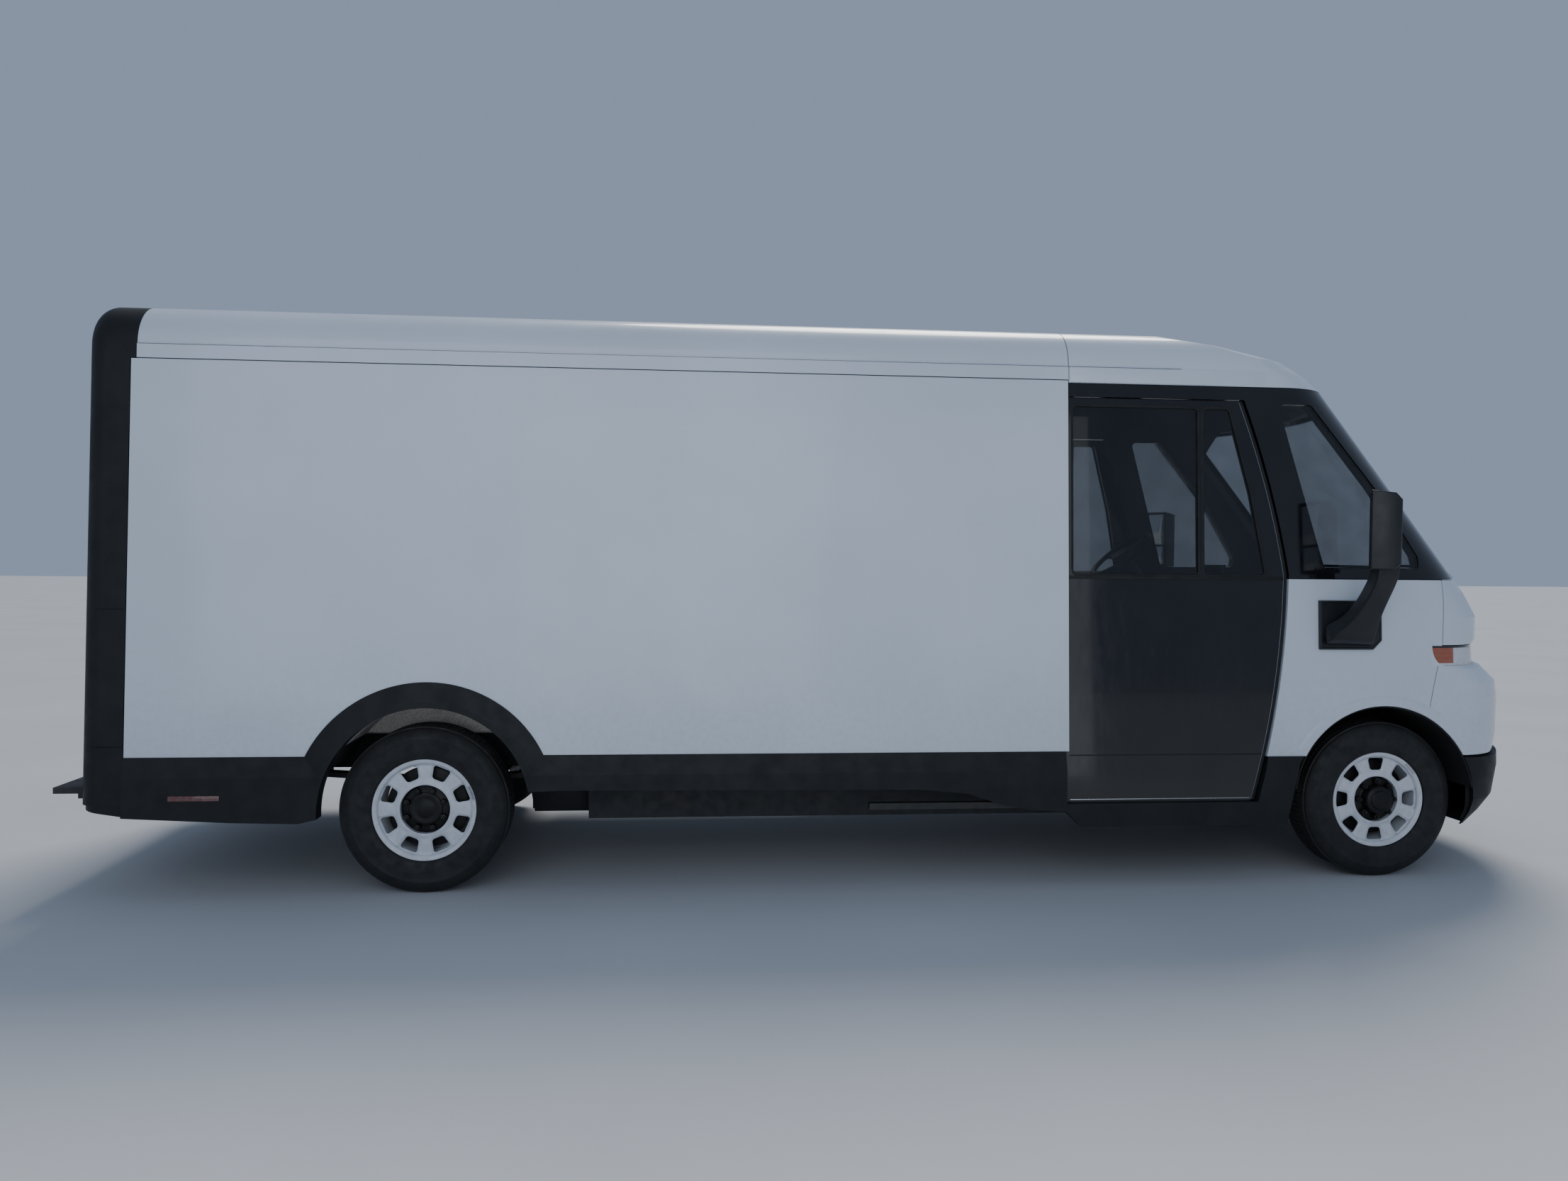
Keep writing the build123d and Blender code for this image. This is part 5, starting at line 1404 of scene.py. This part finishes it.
@dataclass
class BodyTrim(Group):
    """Reflectors, raised edges, a painted shadow line, closing plates and the number plate on
    the body.
    """

    clad_proud: float = 0.020
    band_low: float = 2.430
    band_high: float = 2.505
    band_proud: float = 0.006
    band_fade: float = 1.05
    band_end: float = 0.62
    arch_x: float = -0.014
    arch_z: float = 0.398
    arch_r: float = 0.466
    arch_from: float = 50
    arch_to: float = 150
    arch_fade: float = 14
    arch_steps: int = 48

    def side_reflector(self, side: Side) -> Piece:
        """A thin rounded reflector on the skirt ahead of the rear wheel."""
        sign, rear = side.value, self.layout.rear_axle
        low, high = 0.460, 0.484
        middle = (low + high) / 2
        y = self.layout.wall_y(middle)
        plate = start_block(f"side_reflector_{side.word}",
                            (rear - 1.09, sign * (y + self.clad_proud - 0.002), low),
                            (rear - 0.87, sign * (y + self.clad_proud + 0.003), high))
        self.layout.lean_with_wall(plate, side, middle)
        return eased(plate, 0.0025)

    def arch_guard(self, side: Side) -> Piece:
        """The plate that closes the rear arch inboard, from the battery to the liner."""
        sign, rear = side.value, self.layout.rear_axle
        guard = start_block(f"arch_guard_{side.word}", (rear + 0.420, sign * 0.604, 0.300),
                            (rear + 0.732, sign * 0.608, 0.520))
        for vertex in guard.data.vertices:
            if vertex.co.x < rear + 0.5 and vertex.co.z < 0.4:
                vertex.co.x += 0.040
        return eased(guard, 0.001)

    def arch_edge(self, side: Side) -> Piece:
        """The pressed lip round the front arch, which fades out at both ends."""
        first, last = self.arch_from, self.arch_to
        section = [(0.0, -0.002), (0.0, 0.0045), (0.003, 0.0065), (0.012, 0.0065),
                   (0.030, 0.0045), (0.050, 0.0008), (0.053, -0.002)]
        section = [(self.arch_r + away, out) for away, out in section]
        lip = spun(f"arch_edge_{side.word}", section, self.arch_steps, last - first)
        lip.data.transform(Matrix.Rotation(-math.radians(first), 4, "Y"))
        middle_x = self.layout.front_axle + self.arch_x
        for vertex in lip.data.vertices:
            angle = math.degrees(math.atan2(vertex.co.z, vertex.co.x))
            fade = min(1.0, max(0.0, min(angle - first, last - angle) / self.arch_fade))
            out = -vertex.co.y if vertex.co.y > 0 else -vertex.co.y * fade
            z = self.arch_z + vertex.co.z
            vertex.co = (middle_x + vertex.co.x, side.value * (self.layout.wall_y(z) + out), z)
        return smooth(tidy_shell(lip), 50)

    def cab_rail(self, side: Side) -> Piece:
        """The raised band under the cab roof's side, which fades out towards the nose."""
        low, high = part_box("cab_roof")
        fade, end = high.x - self.band_fade, high.x - self.band_end
        rail = start_block(f"cab_rail_{side.word}", (low.x + 0.002, 0, self.band_low),
                           (fade, 1, self.band_high))
        extrude(rail, facing(FORWARDS), (end - fade, 0, 0))
        for vertex in rail.data.vertices:
            lift = self.band_proud if vertex.co.x < fade + 0.01 else 0.0
            depth = lift if vertex.co.y > 0.5 else -0.004
            vertex.co.y = side.value * (self.layout.wall_y(vertex.co.z) + depth)
        return eased(tidy_shell(rail), 0.0015, 2, 30)

    def roof_skin(self) -> None:
        """The cab roof's own shape, shaded smooth across its lofted stretches."""
        skin = twin_of("cab_roof", "cab_roof_skin")
        edit_all(skin)
        bpy.ops.mesh.mark_sharp(clear=True)
        leave_edit(skin)
        self.fit(even_shading(smooth(skin, 24)), "white_paint", "white_paint")
        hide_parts("cab_roof")

    def band_seam(self, side: Side) -> Piece:
        """A fine dim strip along the top of the roof's raised side band: a painted shadow line
        at the band's small ledge.
        """
        sign, z = side.value, self.band_high
        ends = (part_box("cargo_roof")[0].x + 0.004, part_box("cab_roof")[1].x - self.band_fade)
        line = [Vector((x, sign * (self.layout.wall_y(z) + 0.0058), z)) for x in ends]
        return strip(f"band_seam_{side.word}", line, (0.0014, 0.0008), Vector((0, sign, 0)))

    def corner_foot(self, side: Side) -> Piece:
        """The sloped foot under the rear surround's corner, which meets the skirt."""
        sign = side.value
        low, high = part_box("rear_frame")
        front, rear = high.x - 0.030, low.x + 0.014
        out = self.layout.wall_y(low.z) - 0.002
        foot = start_block(f"corner_foot_{side.word}", (rear, sign * 0.80, 0.388),
                           (front, sign * out, low.z))
        bevel_picked(foot, lambda *ends: all(
            c.x < rear + 0.01 and sign * c.y > out - 0.01 for c in ends), 0.085, 8)
        for vertex in foot.data.vertices:
            if vertex.co.z < 0.40:
                vertex.co.z = 0.418 - 0.030 * (vertex.co.x - rear) / (front - rear)
        return smooth(foot, 40)

    def lamp_core(self) -> None:
        """A pale core inside the headlamps' covers, drawn in from their own shape."""
        core = twin_of("headlamps", "headlamp_core")
        edit_all(core)
        bpy.ops.transform.shrink_fatten(value=-0.006)
        self.fit(smooth(leave_edit(core)), "wheel_white", "frame_steel")

    def rear_face(self) -> None:
        """Reflectors, a blank plate and its holder on the rear surround."""
        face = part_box("rear_frame")[0].x
        for side in Side:
            piece = start_block(f"rear_reflector_{side.word}",
                                (face - 0.004, side.value * 0.80, 0.62),
                                (face + 0.004, side.value * 0.93, 0.66))
            self.fit(eased(piece, 0.002), "reflector", "lamp_red")
        holder = start_block("plate_holder", (face - 0.008, 0.12, 0.545),
                             (face + 0.004, 0.45, 0.690))
        recess(holder, facing(BACKWARDS), 0.008, (0.003, 0, 0))
        self.fit(eased(holder, 0.002), "black_texture", "black_texture")
        blank = start_block("blank_plate", (face - 0.0075, 0.135, 0.558),
                            (face - 0.004, 0.435, 0.677))
        self.fit(eased(blank, 0.001), "white_paint", "white_paint")

    def build(self) -> None:
        """Makes the pieces for both sides, the lamps, the rear and the roof."""
        for side in Side:
            self.fit(self.side_reflector(side), "reflector", "lamp_red")
            for piece in (self.cab_rail(side), self.arch_edge(side)):
                self.fit(piece, "white_paint", "white_paint")
            for piece in (self.arch_guard(side), self.corner_foot(side)):
                self.fit(piece, "black_texture", "black_texture")
            # The strip along the band's top is a painted shadow line.
            self.fit(self.band_seam(side), "dim_trim", "white_paint")
        self.lamp_core()
        self.rear_face()
        self.roof_skin()


# Studio


@dataclass
class Studio:
    """Pale floor, soft light and the photograph's camera."""

    camera_at: Vector
    yaw: float
    pitch: float
    roll: float
    focal_px: float = 1600
    frame_px: float = 2212
    sensor: float = 36
    far: float = 200
    floor_wide: float = 160
    sky: Colour = (0.52, 0.65, 0.88)
    sky_strength: float = 0.48
    sun_strength: float = 2.2
    sun_wide: float = 28
    sun_colour: Colour = (1.0, 0.97, 0.92)

    def camera(self) -> None:
        """Adds the camera from its place, turn and focal length in pixels."""
        camera = add(bpy.ops.object.camera_add, "camera", location=self.camera_at)
        yaw, pitch, roll = (math.radians(a) for a in (self.yaw, self.pitch, self.roll))
        forward = Vector((-math.sin(yaw) * math.cos(pitch), math.cos(yaw) * math.cos(pitch),
                          math.sin(pitch)))
        right = Vector((math.cos(yaw), math.sin(yaw), 0))
        up = right.cross(forward)
        right_r = math.cos(roll) * right + math.sin(roll) * up
        up_r = -math.sin(roll) * right + math.cos(roll) * up
        camera.rotation_euler = Matrix((right_r, up_r, -forward)).transposed().to_euler()
        camera.data.sensor_width = self.sensor
        camera.data.lens = self.focal_px / self.frame_px * self.sensor
        camera.data.clip_end = self.far
        bpy.context.scene.camera = camera

    def floor(self) -> None:
        """A pale floor that the van stands on."""
        floor = add(bpy.ops.mesh.primitive_plane_add, "floor", size=self.floor_wide,
                    location=(0, 0, 0))
        sheet = Sheet("floor_paint")
        tone = sheet.mottle(0.6, 4, 0.3, 0.7, 0, 1)
        sheet.feed(sheet.mix(tone, (0.50, 0.51, 0.53), (0.54, 0.55, 0.57)), "Base Color")
        sheet.set(Roughness=0.75)
        floor.data.materials.append(sheet.material)

    def lamp(self, kind: str, name: str, at: Iterable[float], aim: Vector, **settings: object
             ) -> None:
        """Adds a lamp of a kind at a place, aimed along a direction."""
        lamp = add(bpy.ops.object.light_add, f"light_{name}", type=kind, location=at)
        lamp.rotation_euler = aim.to_track_quat("-Z", "Y").to_euler()
        for key, value in settings.items():
            setattr(lamp.data, key, value)

    def light(self) -> None:
        """A broad soft light from behind and above, weak fills and a pale surround."""
        world = bpy.data.worlds.new("surround")
        bpy.context.scene.world = world
        world.use_nodes = True
        back = world.node_tree.nodes["Background"]
        back.inputs["Color"].default_value = (*self.sky, 1)
        back.inputs["Strength"].default_value = self.sky_strength
        self.lamp("SUN", "sky", (2, 6, 9), Vector((-0.25, -0.75, -1.0)),
                  energy=self.sun_strength, angle=math.radians(self.sun_wide),
                  color=self.sun_colour)
        plan = (
            ("side", (-2.5, -10.0, 4.5), (0.2, 0, 1.2), 8.0, 190, (0.90, 0.95, 1.0)),
            ("low", (0.5, -7.5, 0.8), (0, 0, 0.6), 6.0, 70, (0.92, 0.96, 1.0)),
        )
        for name, at, towards, size, power, colour in plan:
            self.lamp("AREA", name, at, Vector(towards) - Vector(at), size=size, energy=power,
                      color=colour)

    def build(self) -> None:
        """Sets up the camera, the floor and the light."""
        self.camera()
        self.floor()
        self.light()


def main() -> None:
    """Builds the sub-assemblies in order."""
    logging.basicConfig(level=logging.INFO, format="%(name)s: %(message)s")
    layout = Layout.from_frame()
    finishes = Finishes(layout)
    finishes.dress_frame()
    Wheel(layout, finishes).build()
    for side in Side:
        CabDoor(layout, finishes, side).build()
    shells = [Mirror(layout, finishes, side).build() for side in Side]
    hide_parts("mirrors")
    DriverSeat(layout, finishes).build()
    Cockpit(layout, finishes).build()
    BodyTrim(layout, finishes).build()
    Studio(camera_at=Vector((-0.8458, -6.2988, 1.5524)), yaw=-5.30355, pitch=-1.48755,
           roll=0.50203).build()


if __name__ == "__main__":
    main()
